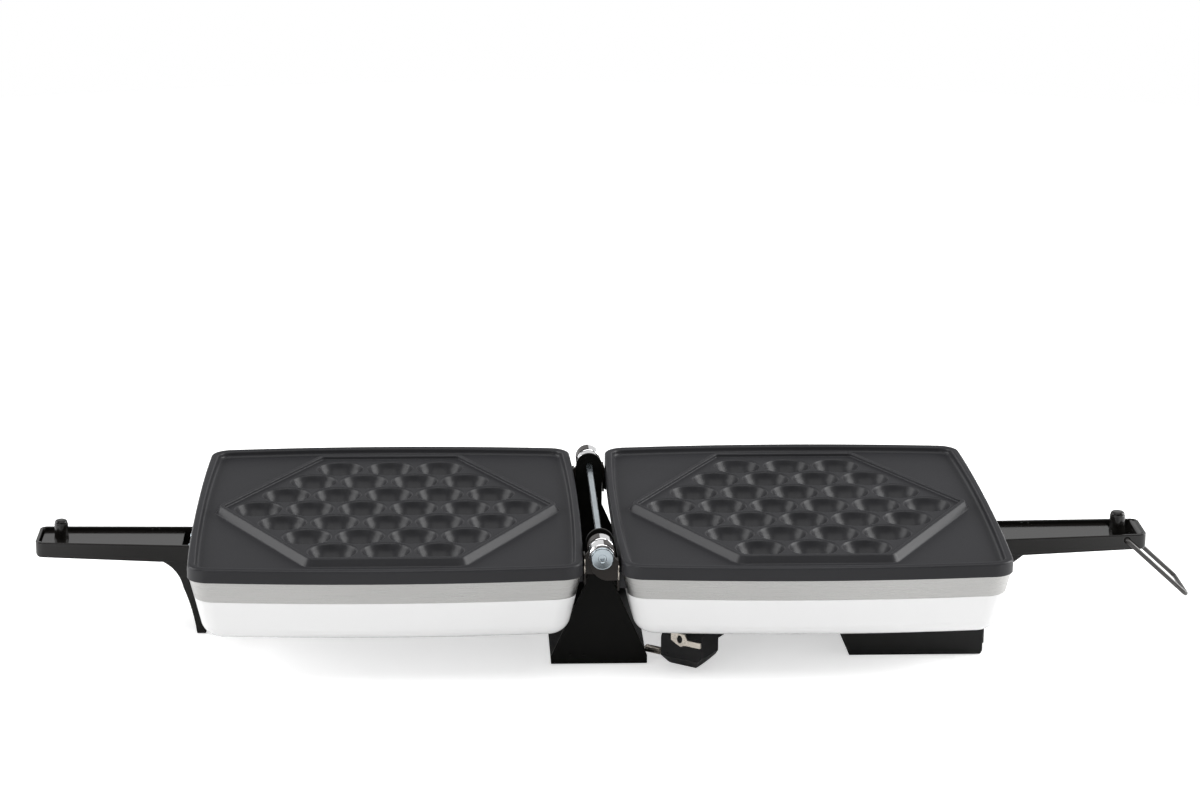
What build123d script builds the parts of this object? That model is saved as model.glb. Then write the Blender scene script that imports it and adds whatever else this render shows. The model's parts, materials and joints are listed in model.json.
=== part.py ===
from build123d import *
import os
from math import cos, pi, radians, sin, sqrt, tan

os.makedirs("parts", exist_ok=True)

# Bubble waffle maker, open flat on its hinge stand. The floor is Z = 0, the hinge pin
# runs along Y above the origin, the base half lies towards +X and the lid half towards -X.
# All sizes are in millimetres.

# The two halves seen from above
hinge_gap = 10.05
half_length = 243.7
half_width = 260.5
side_bow_x = 4.25
side_bow_y = 5.95
corner_radius = 13.0
half_centre = hinge_gap + half_length / 2
side_x = half_centre + half_length / 2

# Levels of a half, counted down from the hinge line to the floor
closing_gap = 0.4
ridge_height = 2.4
ridge_depth = 5.2
rim_drop = 0.5
rim_height = 9.0
rim_width = 3.0
band_height = 13.2
shell_height = 26.5
box_height = 31.2
casing_height = rim_drop + rim_height + band_height + shell_height
hinge_height = closing_gap / 2 + casing_height + box_height

ridge_top = hinge_height - closing_gap / 2
land_level = ridge_top - ridge_height
tray_level = ridge_top - ridge_depth
rim_top = ridge_top - rim_drop
rim_bottom = rim_top - rim_height
band_bottom = rim_bottom - band_height
shell_bottom = band_bottom - shell_height

# Casing walls
side_draft = 11.0
band_inset = 0.75
band_wall = 0.8
shell_wall = 2.5
shell_bottom_radius = 12.0
tongue_height = 1.5
tongue_clearance = 0.3

# Cooking plate
ridge_tip = half_length / 2 - 15.25
ridge_flat = half_width / 2 - 23.75
ridge_flat_half = 46.0
ridge_corner_radius = 10.0
ridge_width = 3.0
ridge_slope = 3.5
cup_rows = (3, 4, 5, 6, 5, 4, 3)
cup_margin = 7.6
cup_gap = 3.0
cup_pitch = 2 * (ridge_tip - cup_margin) / max(cup_rows)
cup_radius = (cup_pitch - cup_gap) / 2
cup_depth = 12.0
cup_floor = 3.0
block_setback = 6.0
cup_sphere = (cup_radius**2 + cup_depth**2) / (2 * cup_depth)
block_bottom = land_level - cup_depth - cup_floor

# Screws, all of one kind
screw_radius = 1.5
screw_hole_clearance = 0.05
screw_head_radius = 3.2
screw_head_height = 2.0
screw_head_clearance = 0.4
screw_hole = screw_radius + screw_hole_clearance
hole_end = 1.0

# Pillars, bosses and the reflector that they clamp
pillar_x = half_length / 2 - 29.85
pillar_y = half_width / 2 - 34.25
pillar_radius = 6.0
boss_radius = 5.0
pillar_height = 15.8
reflector_sheet = 0.6
reflector_margin = 10.0
reflector_corner = 12.0
shell_screw_grip = 12.0
pillar_top = shell_bottom + shell_wall + pillar_height

# Heating element and the two safety parts under the base plate
element_radius = 3.4
element_x = pillar_x - 24.0
element_y = pillar_y - 30.0
element_gap = 12.0
element_terminal = 30.0
element_bend = 18.0
seat_clearance = 0.1
thermostat_radius = 8.0
thermostat_height = 8.0
thermostat_cap_radius = 6.0
thermostat_cap_height = 2.5
fuse_radius = 2.5
fuse_length = 16.0
fuse_offset = 30.0

# Hinge pin and what turns on it
pin_radius = 2.0
pin_head_radius = 7.0
pin_head_thickness = 2.0
pin_dimple_radius = 1.0
pin_dimple_depth = 0.6
pin_end_length = 0.8
pin_nut_thickness = 2.0
pin_hole_clearance = 0.1
bore_clearance = 0.1
side_clearance = 0.3
knuckle_radius = 7.9
spacer_radius = 6.0
spacer_length = 5.9
lid_front_length = 11.8
base_front_length = 12.1
lid_rear_length = 7.8
base_rear_length = 13.1
knuckle_bore = pin_radius + bore_clearance

# Stand
stand_margin = 49.25
stand_outer = half_width - 2 * stand_margin
stand_sheet = 2.0
stand_foot_half = 30.0
stand_foot_height = 6.0
stand_neck_half = 8.7
stand_neck_height = hinge_height - 26.6
stand_bend = 3.0

# Hinge arms
arm_sheet = 2.5
arm_eye = 7.0
arm_reach = 11.8
arm_low = 14.7
arm_high = 3.4
arm_flange_length = 17.0
arm_flange_top = 4.6
arm_flange_height = 23.0
arm_corner = 3.0
arm_belly = (4.5, -3.0, 11.8)
lug_length = 14.0
lug_depth = 12.2
lug_gap = 0.5
lug_lift = 2.0
lug_screw_margin = 3.0
hinge_screw_grip = 9.0

# Places of the hinge pieces along the pin, from front to rear
stand_front = -stand_outer / 2
stand_rear = stand_outer / 2
lid_front_end = stand_front - spacer_length - side_clearance
lid_front_start = lid_front_end - lid_front_length
base_front_end = lid_front_start - side_clearance
base_front_start = base_front_end - base_front_length
lid_rear_start = stand_rear + side_clearance
lid_rear_end = lid_rear_start + lid_rear_length
base_rear_start = lid_rear_end + side_clearance
base_rear_end = base_rear_start + base_rear_length
pin_head_face = base_front_start - side_clearance
pin_nut_face = base_rear_end + side_clearance

# Handles; a place is how far it lies outside the casing and below the hinge line
handle_length = 101.25
handle_end = side_x + handle_length
handle_top_inner = hinge_height - 20.7
handle_top_outer = hinge_height - 18.7
handle_low_inner = hinge_height - 31.6
handle_low_outer = hinge_height - 28.6
handle_low_start = side_x + 22.65
handle_tip_radius = 3.0
handle_plan_radius = 5.0
handle_width_inner = 40.5
handle_width_outer = 34.0
handle_wall = 2.2
handle_floor = 2.5
handle_end_wall = 6.0
handle_clearance = 0.2
tip_block_low = 9.0
tip_block_high = 5.5
tip_block_drop = 0.4
neck_width = 34.0
neck_bulge = (14.25, 37.6)
neck_end = (8.55, 49.2)
leg_bulge = (3.85, 63.1)
leg_foot = 0.5
leg_thickness = 6.0
strip_bulge = (14.45, 38.0)
strip_end = (4.25, 46.6)
handle_screw_y = 11.0
handle_screw_level = hinge_height - 25.3
handle_boss_depth = 10.0
handle_boss_half = 17.0
handle_boss_height = 7.0
handle_screw_grip = 7.0

# Posts in the handles
lid_post_x = handle_end - 15.2
lid_post_radius = 4.9
lid_post_top = hinge_height - 9.0
base_post_x = handle_end - 16.5
base_post_length = 11.0
base_post_width = 16.5
base_post_corner = 5.0
base_post_top = hinge_height - 8.4
post_round = 1.0

# Latch bail
bail_wire = 1.5
bail_x = handle_end - 13.0
bail_level = hinge_height - 22.6
bail_length = 54.2
bail_rest = 42.3
bail_bend = 3.5
bail_side_clearance = 0.5
bail_hole_clearance = 0.1
bail_end = 1.0

# Control box
box_end = side_x - 11.25
box_bottom_start = box_end - 84.2
box_knee = (box_end - 89.7, 12.7)
box_top_start = box_end - 97.5
box_end_chamfer = 1.2
box_half_high = half_width / 2 - 59.25
box_half_low = box_half_high - 3.0
box_wall = 2.5
box_post_x = (box_end - 76.5, box_end - 20.5)
box_post_y = box_half_low - 8.0
box_post_radius = 4.5
box_screw_seat = 6.0
box_screw_grip = 2.0

# Switch in the end wall of the control box
switch_y = 18.5 - box_half_high
switch_level = box_height / 2 - 0.6
switch_width = 15.0
switch_height = box_height - 10.2
switch_proud = 2.0
switch_wall = 2.0
switch_body_step = 1.0
switch_body_depth = 14.0
switch_cavity_depth = 4.0
switch_hole_clearance = 0.1
rocker_side_clearance = 0.3
rocker_half = switch_height / 2 - 3.0
rocker_setback = 1.0
rocker_depth = 3.0
rocker_angle = 10.0
rocker_trunnion = 1.2
rocker_trunnion_reach = 0.9
rocker_trunnion_clearance = 0.1

# Terminal block on the floor of the control box
terminal_x = box_end - 52.5
terminal_y = 0.0
terminal_length = 32.0
terminal_width = 18.0
terminal_height = 12.0
terminal_ways = 3
terminal_screw_radius = 2.0
terminal_screw_depth = 4.0

# Mains cord: strain relief, route, coil and plug
cord_radius = 3.5
gland_length = 26.3
gland_level = 8.0
gland_tip = box_bottom_start - gland_length
gland_tip_radius = 4.8
gland_root_radius = 6.2
gland_neck_radius = 4.4
gland_neck_clearance = 0.1
gland_flange_radius = 5.4
gland_flange = 2.0
coil_x = (stand_foot_half + box_top_start) / 2 - 1.5
coil_setback = 116.0
coil_y = coil_setback - stand_outer / 2
coil_layer = 7.5
coil_outer_start = 42.5
coil_step_in = 5.1
coil_inner_end = 40.0
coil_step_out = 3.0
gland_y = coil_y - coil_outer_start
box_end_runs = (13.0, 26.0)
plug_end_route = [(44.5, -26.5, 26.0), (37.0, -45.0, 23.0), (23.2, -63.0, 18.5)]
plug_end_run = 20.5
bend_share = 0.45

plug_place = (-40.5, -111.0)
plug_level = 15.0
plug_face = (coil_x + plug_place[0], coil_y + plug_place[1], plug_level)
plug_angle = -34.8
plug_radius = 15.0
plug_length = 37.0
plug_waist = 11.0
plug_waist_start = 14.0
plug_chamfer_height = 8.0
plug_chamfer_length = 16.0
plug_edge = 2.0
plug_relief_place = 24.0
plug_relief_length = 20.0
plug_relief_root = 6.0
plug_relief_tip = 4.5
plug_pin_radius = 2.4
plug_pin_length = 19.0
plug_pin_spacing = 19.0
plug_pin_round = 1.2
clip_sheet = 1.2
clip_flat = 14.0
clip_start = 4.0
clip_end = 31.0
clip_strip = 5.0
clip_tab_length = 13.0
clip_tab_height = 9.0
clip_hole = 2.5
clip_hole_place = 12.5


def write_piece(name, piece, side=1):
    """Label a piece and write it; pieces of the lid are mirrored across the hinge."""
    if side < 0:
        piece = mirror(piece, about=Plane.YZ)
    piece.label = name
    export_step(piece, f"parts/{name}.step")
    return piece


def facing_front(y):
    """Plane square to the pin at y; its normal points to the front, its x along X."""
    return Plane.XZ.offset(-y)


def side_inset(level):
    """How far the drafted side of a casing lies inside the rim at a level."""
    return band_inset + (rim_bottom - level) * tan(radians(side_draft))


def casing_sketch(level, inset, radius):
    """Outline of a half: four bowed sides with round corners."""
    mid_x = half_length / 2 - inset
    mid_y = half_width / 2 - inset
    near = half_centre - mid_x + side_bow_x
    far = half_centre + mid_x - side_bow_x
    front = -mid_y + side_bow_y
    rear = mid_y - side_bow_y
    with BuildSketch(Plane.XY.offset(level)) as outline:
        with BuildLine():
            ThreePointArc((near, front), (half_centre, -mid_y), (far, front))
            ThreePointArc((far, front), (half_centre + mid_x, 0), (far, rear))
            ThreePointArc((far, rear), (half_centre, mid_y), (near, rear))
            ThreePointArc((near, rear), (half_centre - mid_x, 0), (near, front))
        make_face()
        fillet(outline.vertices(), radius)
    return outline.sketch


def tapered_casing(bottom, top, wall, bottom_radius):
    """Body between two levels that follows the drafted side, wall inside it."""
    with BuildPart() as body:
        low = casing_sketch(bottom, side_inset(bottom) + wall, corner_radius)
        high = casing_sketch(top, side_inset(top) + wall, corner_radius)
        loft([low, high], ruled=True)
        if bottom_radius:
            fillet(body.faces().sort_by(Axis.Z)[0].edges(), bottom_radius)
    return body.part


def hexagon_sketch(level, growth):
    """Six-sided field of the cups, grown from the middle line of the ridge."""
    with BuildSketch(Plane.XY.offset(level)) as field:
        with BuildLine():
            Polyline(
                (half_centre - ridge_tip, 0),
                (half_centre - ridge_flat_half, -ridge_flat),
                (half_centre + ridge_flat_half, -ridge_flat),
                (half_centre + ridge_tip, 0),
                (half_centre + ridge_flat_half, ridge_flat),
                (half_centre - ridge_flat_half, ridge_flat),
                close=True,
            )
        make_face()
        fillet(field.vertices(), ridge_corner_radius)
        if growth:
            offset(amount=growth)
    return field.sketch


def pillar_places():
    """The four screw places of a half."""
    return [(half_centre + i * pillar_x, j * pillar_y) for i in (-1, 1) for j in (-1, 1)]


def arm_screw_places(start):
    """The two screws of one hinge arm: place along the pin and level."""
    lug_start = start + arm_sheet + lug_gap
    low = band_bottom + lug_lift + lug_screw_margin
    high = rim_bottom - lug_screw_margin
    return [(lug_start + lug_length / 2, low), (lug_start + lug_length / 2, high)]


def screw(seat, length):
    """One pan-head screw: seat is the plane under its head, with Z out of the head."""
    with BuildSketch(seat) as head:
        Circle(screw_head_radius)
    extrude(head.sketch, amount=screw_head_height)
    with BuildSketch(seat) as shank:
        Circle(screw_radius)
    extrude(shank.sketch, amount=-length)


def make_plate(arm_starts):
    """Cooking plate: rim, tray, ridge, cups, block, screw bosses and hinge lugs."""
    inner_radius = corner_radius - rim_width
    ridge_half = ridge_width / 2
    with BuildPart() as plate:
        extrude(casing_sketch(rim_bottom, 0, corner_radius), amount=rim_height)
        tray = casing_sketch(tray_level, rim_width, inner_radius)
        extrude(tray, amount=rim_height, mode=Mode.SUBTRACT)
        ridge_foot = hexagon_sketch(tray_level, ridge_half + ridge_slope)
        loft([ridge_foot, hexagon_sketch(ridge_top, ridge_half)], ruled=True)
        field = hexagon_sketch(land_level, -ridge_half)
        extrude(field, amount=ridge_height, mode=Mode.SUBTRACT)
        block = hexagon_sketch(block_bottom, -block_setback)
        extrude(block, amount=rim_bottom - block_bottom)
        for row, count in enumerate(cup_rows):
            row_y = (row - (len(cup_rows) - 1) / 2) * cup_pitch * sqrt(3) / 2
            with Locations((half_centre, row_y, land_level - cup_depth + cup_sphere)):
                with GridLocations(cup_pitch, 0, count, 1):
                    Sphere(cup_sphere, mode=Mode.SUBTRACT)
        with BuildSketch(Plane.XY.offset(pillar_top + reflector_sheet)):
            with Locations(*pillar_places()):
                Circle(boss_radius)
        extrude(amount=rim_bottom - pillar_top - reflector_sheet)
        with BuildSketch(Plane.XY.offset(pillar_top + reflector_sheet)):
            with Locations(*pillar_places()):
                Circle(screw_hole)
        extrude(amount=shell_screw_grip + hole_end, mode=Mode.SUBTRACT)
        for start in arm_starts:
            lug_start = start + arm_sheet + lug_gap
            with BuildSketch(Plane.YZ.offset(arm_reach)):
                with Locations((lug_start, band_bottom + lug_lift)):
                    Rectangle(lug_length, band_height - lug_lift, align=(Align.MIN, Align.MIN))
            extrude(amount=lug_depth)
            with BuildSketch(Plane.YZ.offset(arm_reach)):
                with Locations(*arm_screw_places(start)):
                    Circle(screw_hole)
            extrude(amount=hinge_screw_grip - arm_sheet + hole_end, mode=Mode.SUBTRACT)
    return plate.part


def make_band(arm_starts):
    """Steel band with a window for each hinge lug."""
    with BuildPart() as band:
        add(tapered_casing(band_bottom, rim_bottom, 0, 0))
        add(tapered_casing(band_bottom, rim_bottom, band_wall, 0), mode=Mode.SUBTRACT)
        for start in arm_starts:
            lug_start = start + arm_sheet + lug_gap
            with BuildSketch(Plane.YZ):
                with Locations((lug_start - lug_gap, band_bottom + lug_lift - lug_gap)):
                    Rectangle(
                        lug_length + 2 * lug_gap,
                        band_height,
                        align=(Align.MIN, Align.MIN),
                    )
            extrude(amount=arm_reach + lug_depth, mode=Mode.SUBTRACT)
    return band.part


def make_shell(box_screws):
    """White casing shell with a tongue inside the band, pillars and a boss for the handle."""
    bowl = tapered_casing(shell_bottom, band_bottom, 0, shell_bottom_radius)
    inner_radius = shell_bottom_radius - shell_wall
    hollow = tapered_casing(shell_bottom + shell_wall, band_bottom, shell_wall, inner_radius)
    boss_top = band_bottom - side_clearance
    with BuildPart() as shell:
        add(bowl)
        tongue_inset = side_inset(band_bottom) + band_wall + tongue_clearance
        extrude(casing_sketch(band_bottom, tongue_inset, corner_radius), amount=tongue_height)
        tongue_inside = casing_sketch(
            band_bottom, side_inset(band_bottom) + shell_wall, corner_radius
        )
        extrude(tongue_inside, amount=tongue_height, mode=Mode.SUBTRACT)
        add(hollow, mode=Mode.SUBTRACT)
        with BuildSketch(Plane.XY.offset(shell_bottom + shell_wall)):
            with Locations(*pillar_places()):
                Circle(pillar_radius)
        extrude(amount=pillar_height)
        with BuildSketch(Plane.XY.offset(boss_top - handle_boss_height)):
            with Locations((side_x - side_inset(boss_top - handle_boss_height), 0)):
                Rectangle(
                    shell_wall / 2 + handle_boss_depth,
                    2 * handle_boss_half,
                    align=(Align.MAX, Align.CENTER),
                )
        extrude(amount=handle_boss_height)
        with BuildSketch(Plane.XY.offset(shell_bottom)):
            with Locations(*pillar_places()):
                Circle(screw_hole)
        extrude(amount=shell_wall + pillar_height, mode=Mode.SUBTRACT)
        with BuildSketch(Plane.XY.offset(shell_bottom)):
            with Locations(*pillar_places()):
                Circle(screw_head_radius + screw_head_clearance)
        extrude(amount=screw_head_height + screw_head_clearance, mode=Mode.SUBTRACT)
        with BuildSketch(Plane.YZ.offset(side_x)):
            with Locations((-handle_screw_y, handle_screw_level), (handle_screw_y, handle_screw_level)):
                Circle(screw_hole)
        extrude(amount=-side_inset(shell_bottom) - handle_screw_grip, mode=Mode.SUBTRACT)
        if box_screws:
            with BuildSketch(Plane.XY.offset(shell_bottom)):
                with Locations(*box_screw_places()):
                    Circle(screw_hole)
            extrude(amount=shell_wall, mode=Mode.SUBTRACT)
    return shell.part


def make_element():
    """Tubular heating element: one open loop under the block of the plate."""
    level = block_bottom - element_radius - seat_clearance
    outer = element_x + element_terminal
    corners = [
        (outer, -element_gap),
        (element_x, -element_gap),
        (element_x, -element_y),
        (-element_x, -element_y),
        (-element_x, element_y),
        (element_x, element_y),
        (element_x, element_gap),
        (outer, element_gap),
    ]
    with BuildPart() as element:
        with BuildLine() as path:
            FilletPolyline(*[(half_centre + x, y, level) for x, y in corners], radius=element_bend)
        with BuildSketch(Plane(origin=path.line @ 0, z_dir=path.line % 0)):
            Circle(element_radius)
        sweep()
    return element.part


def make_reflector():
    """Reflector sheet, clamped between the pillars and the bosses."""
    with BuildPart() as reflector:
        with BuildSketch(Plane.XY.offset(pillar_top)) as sheet:
            with Locations((half_centre, 0)):
                Rectangle(2 * (pillar_x + reflector_margin), 2 * (pillar_y + reflector_margin))
            fillet(sheet.vertices(), reflector_corner)
            with Locations(*pillar_places()):
                Circle(screw_hole, mode=Mode.SUBTRACT)
        extrude(amount=reflector_sheet)
    return reflector.part


def make_arm(start):
    """Hinge arm: a plate with its eye on the pin and a flange on the side of the casing."""
    belly_x, belly_z, belly_radius = arm_belly
    eye_tangent = hinge_height + belly_z + sqrt(belly_radius**2 - (arm_eye + belly_x) ** 2)
    toe = belly_x - sqrt(belly_radius**2 - (arm_low + belly_z) ** 2)
    bottom = hinge_height - arm_low
    side = belly_radius * sqrt(0.5)
    with BuildPart() as arm:
        with BuildSketch(facing_front(start + arm_sheet)):
            with BuildLine():
                Polyline(
                    (toe, bottom),
                    (arm_reach, bottom),
                    (arm_reach, hinge_height + arm_high),
                    (0, hinge_height + arm_eye),
                )
                ThreePointArc(
                    (0, hinge_height + arm_eye),
                    (-arm_eye * sqrt(0.5), hinge_height + arm_eye * sqrt(0.5)),
                    (-arm_eye, hinge_height),
                )
                Line((-arm_eye, hinge_height), (-arm_eye, eye_tangent))
                ThreePointArc(
                    (-arm_eye, eye_tangent),
                    (belly_x - side, hinge_height + belly_z - side),
                    (toe, bottom),
                )
            make_face()
            with Locations((0, hinge_height)):
                Circle(knuckle_bore, mode=Mode.SUBTRACT)
        extrude(amount=arm_sheet)
        with BuildSketch(Plane.YZ.offset(arm_reach - arm_sheet)) as flange:
            with Locations((start, hinge_height - arm_flange_top)):
                Rectangle(arm_flange_length, arm_flange_height, align=(Align.MIN, Align.MAX))
            fillet(flange.vertices().group_by(Axis.Y)[-1], arm_corner)
            with Locations(*arm_screw_places(start)):
                Circle(screw_hole, mode=Mode.SUBTRACT)
        extrude(amount=arm_sheet)
    return arm.part


def make_knuckle(start, end):
    """Chrome barrel behind the plate of a hinge arm."""
    with BuildPart() as knuckle:
        with BuildSketch(facing_front(end)):
            with Locations((0, hinge_height)):
                Circle(knuckle_radius)
                Circle(knuckle_bore, mode=Mode.SUBTRACT)
        extrude(amount=end - start - arm_sheet)
    return knuckle.part


def make_hinge_screws(arm_starts):
    """Screws through the arm flanges into the lugs of the plate."""
    with BuildPart() as screws:
        for start in arm_starts:
            for y, z in arm_screw_places(start):
                seat = Plane(origin=(arm_reach - arm_sheet, y, z), z_dir=(-1, 0, 0))
                screw(seat, hinge_screw_grip)
    return screws.part


def make_shell_screws():
    """Screws from below through the pillars into the bosses of the plate."""
    seat_level = shell_bottom + screw_head_height + screw_head_clearance
    length = pillar_top + reflector_sheet + shell_screw_grip - seat_level
    with BuildPart() as screws:
        for x, y in pillar_places():
            screw(Plane(origin=(x, y, seat_level), z_dir=(0, 0, -1)), length)
    return screws.part


def handle_face(level):
    """X of the handle's inner face, just off the drafted side of the casing."""
    return side_x - side_inset(level) + handle_clearance


def outside_casing(place):
    """A point of the handle's profile, from its place outside the casing and below the hinge."""
    return side_x + place[0], hinge_height - place[1]


def handle_half_width(x):
    """Half the width of the trough at x."""
    inner = handle_face(handle_top_inner)
    share = (x - inner) / (handle_end - inner)
    return (handle_width_inner + share * (handle_width_outer - handle_width_inner)) / 2


def handle_bottom(x):
    """Level of the underside of the trough at x."""
    share = (x - handle_low_start) / (handle_end - handle_low_start)
    return handle_low_inner + share * (handle_low_outer - handle_low_inner)


def trough_plan(wall, start, end, radius):
    """Tapered plan of the trough, wall inside its outer faces, with a round tip."""
    with BuildSketch(Plane.XY) as plan:
        with BuildLine():
            Polyline(
                (start, -handle_half_width(start) + wall),
                (end, -handle_half_width(end) + wall),
                (end, handle_half_width(end) - wall),
                (start, handle_half_width(start) - wall),
                close=True,
            )
        make_face()
        fillet(plan.vertices().group_by(Axis.X)[-1], radius)
    return plan.sketch


def make_handle(has_leg):
    """Trough handle with its neck on the casing; the lid's neck goes on into a leg."""
    top_start = handle_face(handle_top_inner)
    cavity_start = top_start + handle_end_wall
    high = handle_top_outer + handle_wall
    tip_start = handle_end - handle_tip_radius
    tip_level = handle_bottom(tip_start)
    floor_level = handle_low_inner + handle_floor
    with BuildPart() as handle:
        with BuildSketch(Plane.XZ):
            with BuildLine():
                Polyline(
                    (handle_face(handle_low_inner), handle_low_inner),
                    (handle_low_start, handle_low_inner),
                    (tip_start, tip_level),
                )
                RadiusArc(
                    (tip_start, tip_level),
                    (handle_end, tip_level + handle_tip_radius),
                    -handle_tip_radius,
                )
                Polyline(
                    (handle_end, tip_level + handle_tip_radius),
                    (handle_end, handle_top_outer),
                    (top_start, handle_top_inner),
                    (handle_face(handle_low_inner), handle_low_inner),
                )
            make_face()
        extrude(amount=handle_width_inner, both=True)
        low_face = handle_face(handle_low_inner)
        outside = trough_plan(0, low_face, handle_end, handle_plan_radius)
        extrude(outside, amount=high, mode=Mode.INTERSECT)
        cavity_end = handle_end - handle_wall
        inside_radius = handle_plan_radius - handle_wall
        cavity = trough_plan(handle_wall, cavity_start, cavity_end, inside_radius)
        extrude(cavity, amount=high, mode=Mode.SUBTRACT)
        with BuildSketch(Plane.XZ):
            with BuildLine():
                Polyline(
                    (cavity_start - handle_wall, handle_low_inner),
                    (handle_low_start, handle_low_inner),
                    (tip_start, tip_level),
                    (tip_start, tip_level + handle_floor),
                    (handle_low_start, floor_level),
                    (cavity_start - handle_wall, floor_level),
                    close=True,
                )
            make_face()
        extrude(amount=handle_half_width(handle_end) - handle_wall / 2, both=True)
        with BuildSketch(Plane.XZ):
            with BuildLine():
                if has_leg:
                    neck, knee = outside_casing(neck_bulge), outside_casing(neck_end)
                    belly = outside_casing(leg_bulge)
                    foot = side_x + leg_foot
                    ThreePointArc((handle_low_start, handle_low_inner), neck, knee)
                    ThreePointArc(knee, belly, (foot, 0))
                    Polyline(
                        (foot, 0),
                        (foot - leg_thickness, 0),
                        (foot - leg_thickness, handle_low_inner - leg_thickness),
                        (handle_face(handle_low_inner), handle_low_inner),
                        (handle_face(floor_level), floor_level),
                        (handle_low_start, floor_level),
                        (handle_low_start, handle_low_inner),
                    )
                else:
                    belly, strip = outside_casing(strip_bulge), outside_casing(strip_end)
                    strip_level = strip[1]
                    ThreePointArc((handle_low_start, handle_low_inner), belly, strip)
                    Polyline(
                        strip,
                        (handle_face(strip_level), strip_level),
                        (handle_face(handle_low_inner), handle_low_inner),
                        (handle_face(floor_level), floor_level),
                        (handle_low_start, floor_level),
                        (handle_low_start, handle_low_inner),
                    )
            make_face()
        extrude(amount=neck_width / 2, both=True)
        with BuildSketch(Plane.YZ.offset(top_start - rim_width)):
            with Locations((-handle_screw_y, handle_screw_level), (handle_screw_y, handle_screw_level)):
                Circle(screw_hole)
        extrude(amount=rim_width + handle_end_wall, mode=Mode.SUBTRACT)
        if not has_leg:
            block_top = handle_top_outer - tip_block_drop
            with BuildSketch(Plane.XZ):
                with BuildLine():
                    Polyline(
                        (handle_end - tip_block_low, tip_level + handle_floor / 2),
                        (cavity_end + handle_wall / 2, tip_level + handle_floor / 2),
                        (cavity_end + handle_wall / 2, block_top),
                        (handle_end - tip_block_high, block_top),
                        (handle_end - tip_block_low, tip_level + handle_floor),
                        close=True,
                    )
                make_face()
            extrude(amount=handle_half_width(handle_end) - handle_plan_radius / 2, both=True)
            with BuildSketch(Plane.XZ):
                with Locations((bail_x, bail_level)):
                    Circle(bail_wire + bail_hole_clearance)
            extrude(amount=handle_width_inner, both=True, mode=Mode.SUBTRACT)
    return handle.part


def make_handle_screws():
    """Screws from inside the trough through its end wall into the boss of the shell."""
    seat_x = handle_face(handle_top_inner) + handle_end_wall
    depth = seat_x - side_x + side_inset(shell_bottom) + handle_screw_grip
    with BuildPart() as screws:
        for y in (-handle_screw_y, handle_screw_y):
            screw(Plane(origin=(seat_x, y, handle_screw_level), z_dir=(1, 0, 0)), depth - hole_end)
    return screws.part


def box_screw_places():
    """The four screws that hold the control box under the base shell."""
    return [(x, y) for x in box_post_x for y in (-box_post_y, box_post_y)]


# Cooking halves: the base lies towards +X, the lid is its mirror image but for the hinge
base_arms = (base_front_start, base_rear_start)
lid_arms = (lid_front_start, lid_rear_start)
for half, side, arms in (("base", 1, base_arms), ("lid", -1, lid_arms)):
    write_piece(f"{half}_plate", make_plate(arms), side)
    write_piece(f"{half}_band", make_band(arms), side)
    write_piece(f"{half}_shell", make_shell(half == "base"), side)
    write_piece(f"{half}_element", make_element(), side)
    write_piece(f"{half}_reflector", make_reflector(), side)
    write_piece(f"{half}_arm_front", make_arm(arms[0]), side)
    write_piece(f"{half}_arm_rear", make_arm(arms[1]), side)
    write_piece(f"{half}_handle", make_handle(half == "lid"), side)
    write_piece(f"{half}_hinge_screws", make_hinge_screws(arms), side)
    write_piece(f"{half}_handle_screws", make_handle_screws(), side)
    write_piece(f"{half}_shell_screws", make_shell_screws(), side)
write_piece("base_knuckle_front", make_knuckle(base_front_start, base_front_end))
write_piece("base_knuckle_rear", make_knuckle(base_rear_start, base_rear_end))
write_piece("lid_knuckle_front", make_knuckle(lid_front_start, lid_front_end))
write_piece("lid_knuckle_rear", make_knuckle(lid_rear_start, lid_rear_end))

# Stand: a U of sheet along the pin, cut to the outline seen from the front
with BuildPart() as stand_frame:
    with BuildSketch(Plane.YZ) as channel:
        with Locations((0, 0)):
            Rectangle(stand_outer, 2 * hinge_height, align=(Align.CENTER, Align.MIN))
        fillet(channel.vertices().group_by(Axis.Y)[0], stand_bend)
        with Locations((0, stand_sheet)):
            Rectangle(
                stand_outer - 2 * stand_sheet,
                2 * hinge_height,
                align=(Align.CENTER, Align.MIN),
                mode=Mode.SUBTRACT,
            )
    extrude(amount=stand_foot_half, both=True)
    with BuildSketch(Plane.XZ):
        with BuildLine():
            Polyline(
                (stand_neck_half, hinge_height),
                (stand_neck_half, stand_neck_height),
                (stand_foot_half, stand_foot_height),
                (stand_foot_half, 0),
                (-stand_foot_half, 0),
                (-stand_foot_half, stand_foot_height),
                (-stand_neck_half, stand_neck_height),
                (-stand_neck_half, hinge_height),
            )
            ThreePointArc(
                (-stand_neck_half, hinge_height),
                (0, hinge_height + stand_neck_half),
                (stand_neck_half, hinge_height),
            )
        make_face()
    extrude(amount=stand_outer, both=True, mode=Mode.INTERSECT)
    with BuildSketch(Plane.XZ):
        with Locations((0, hinge_height)):
            Circle(pin_radius + pin_hole_clearance)
    extrude(amount=stand_outer, both=True, mode=Mode.SUBTRACT)
stand_frame.part.label = "stand_frame"
export_step(stand_frame.part, "parts/stand_frame.step")

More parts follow.
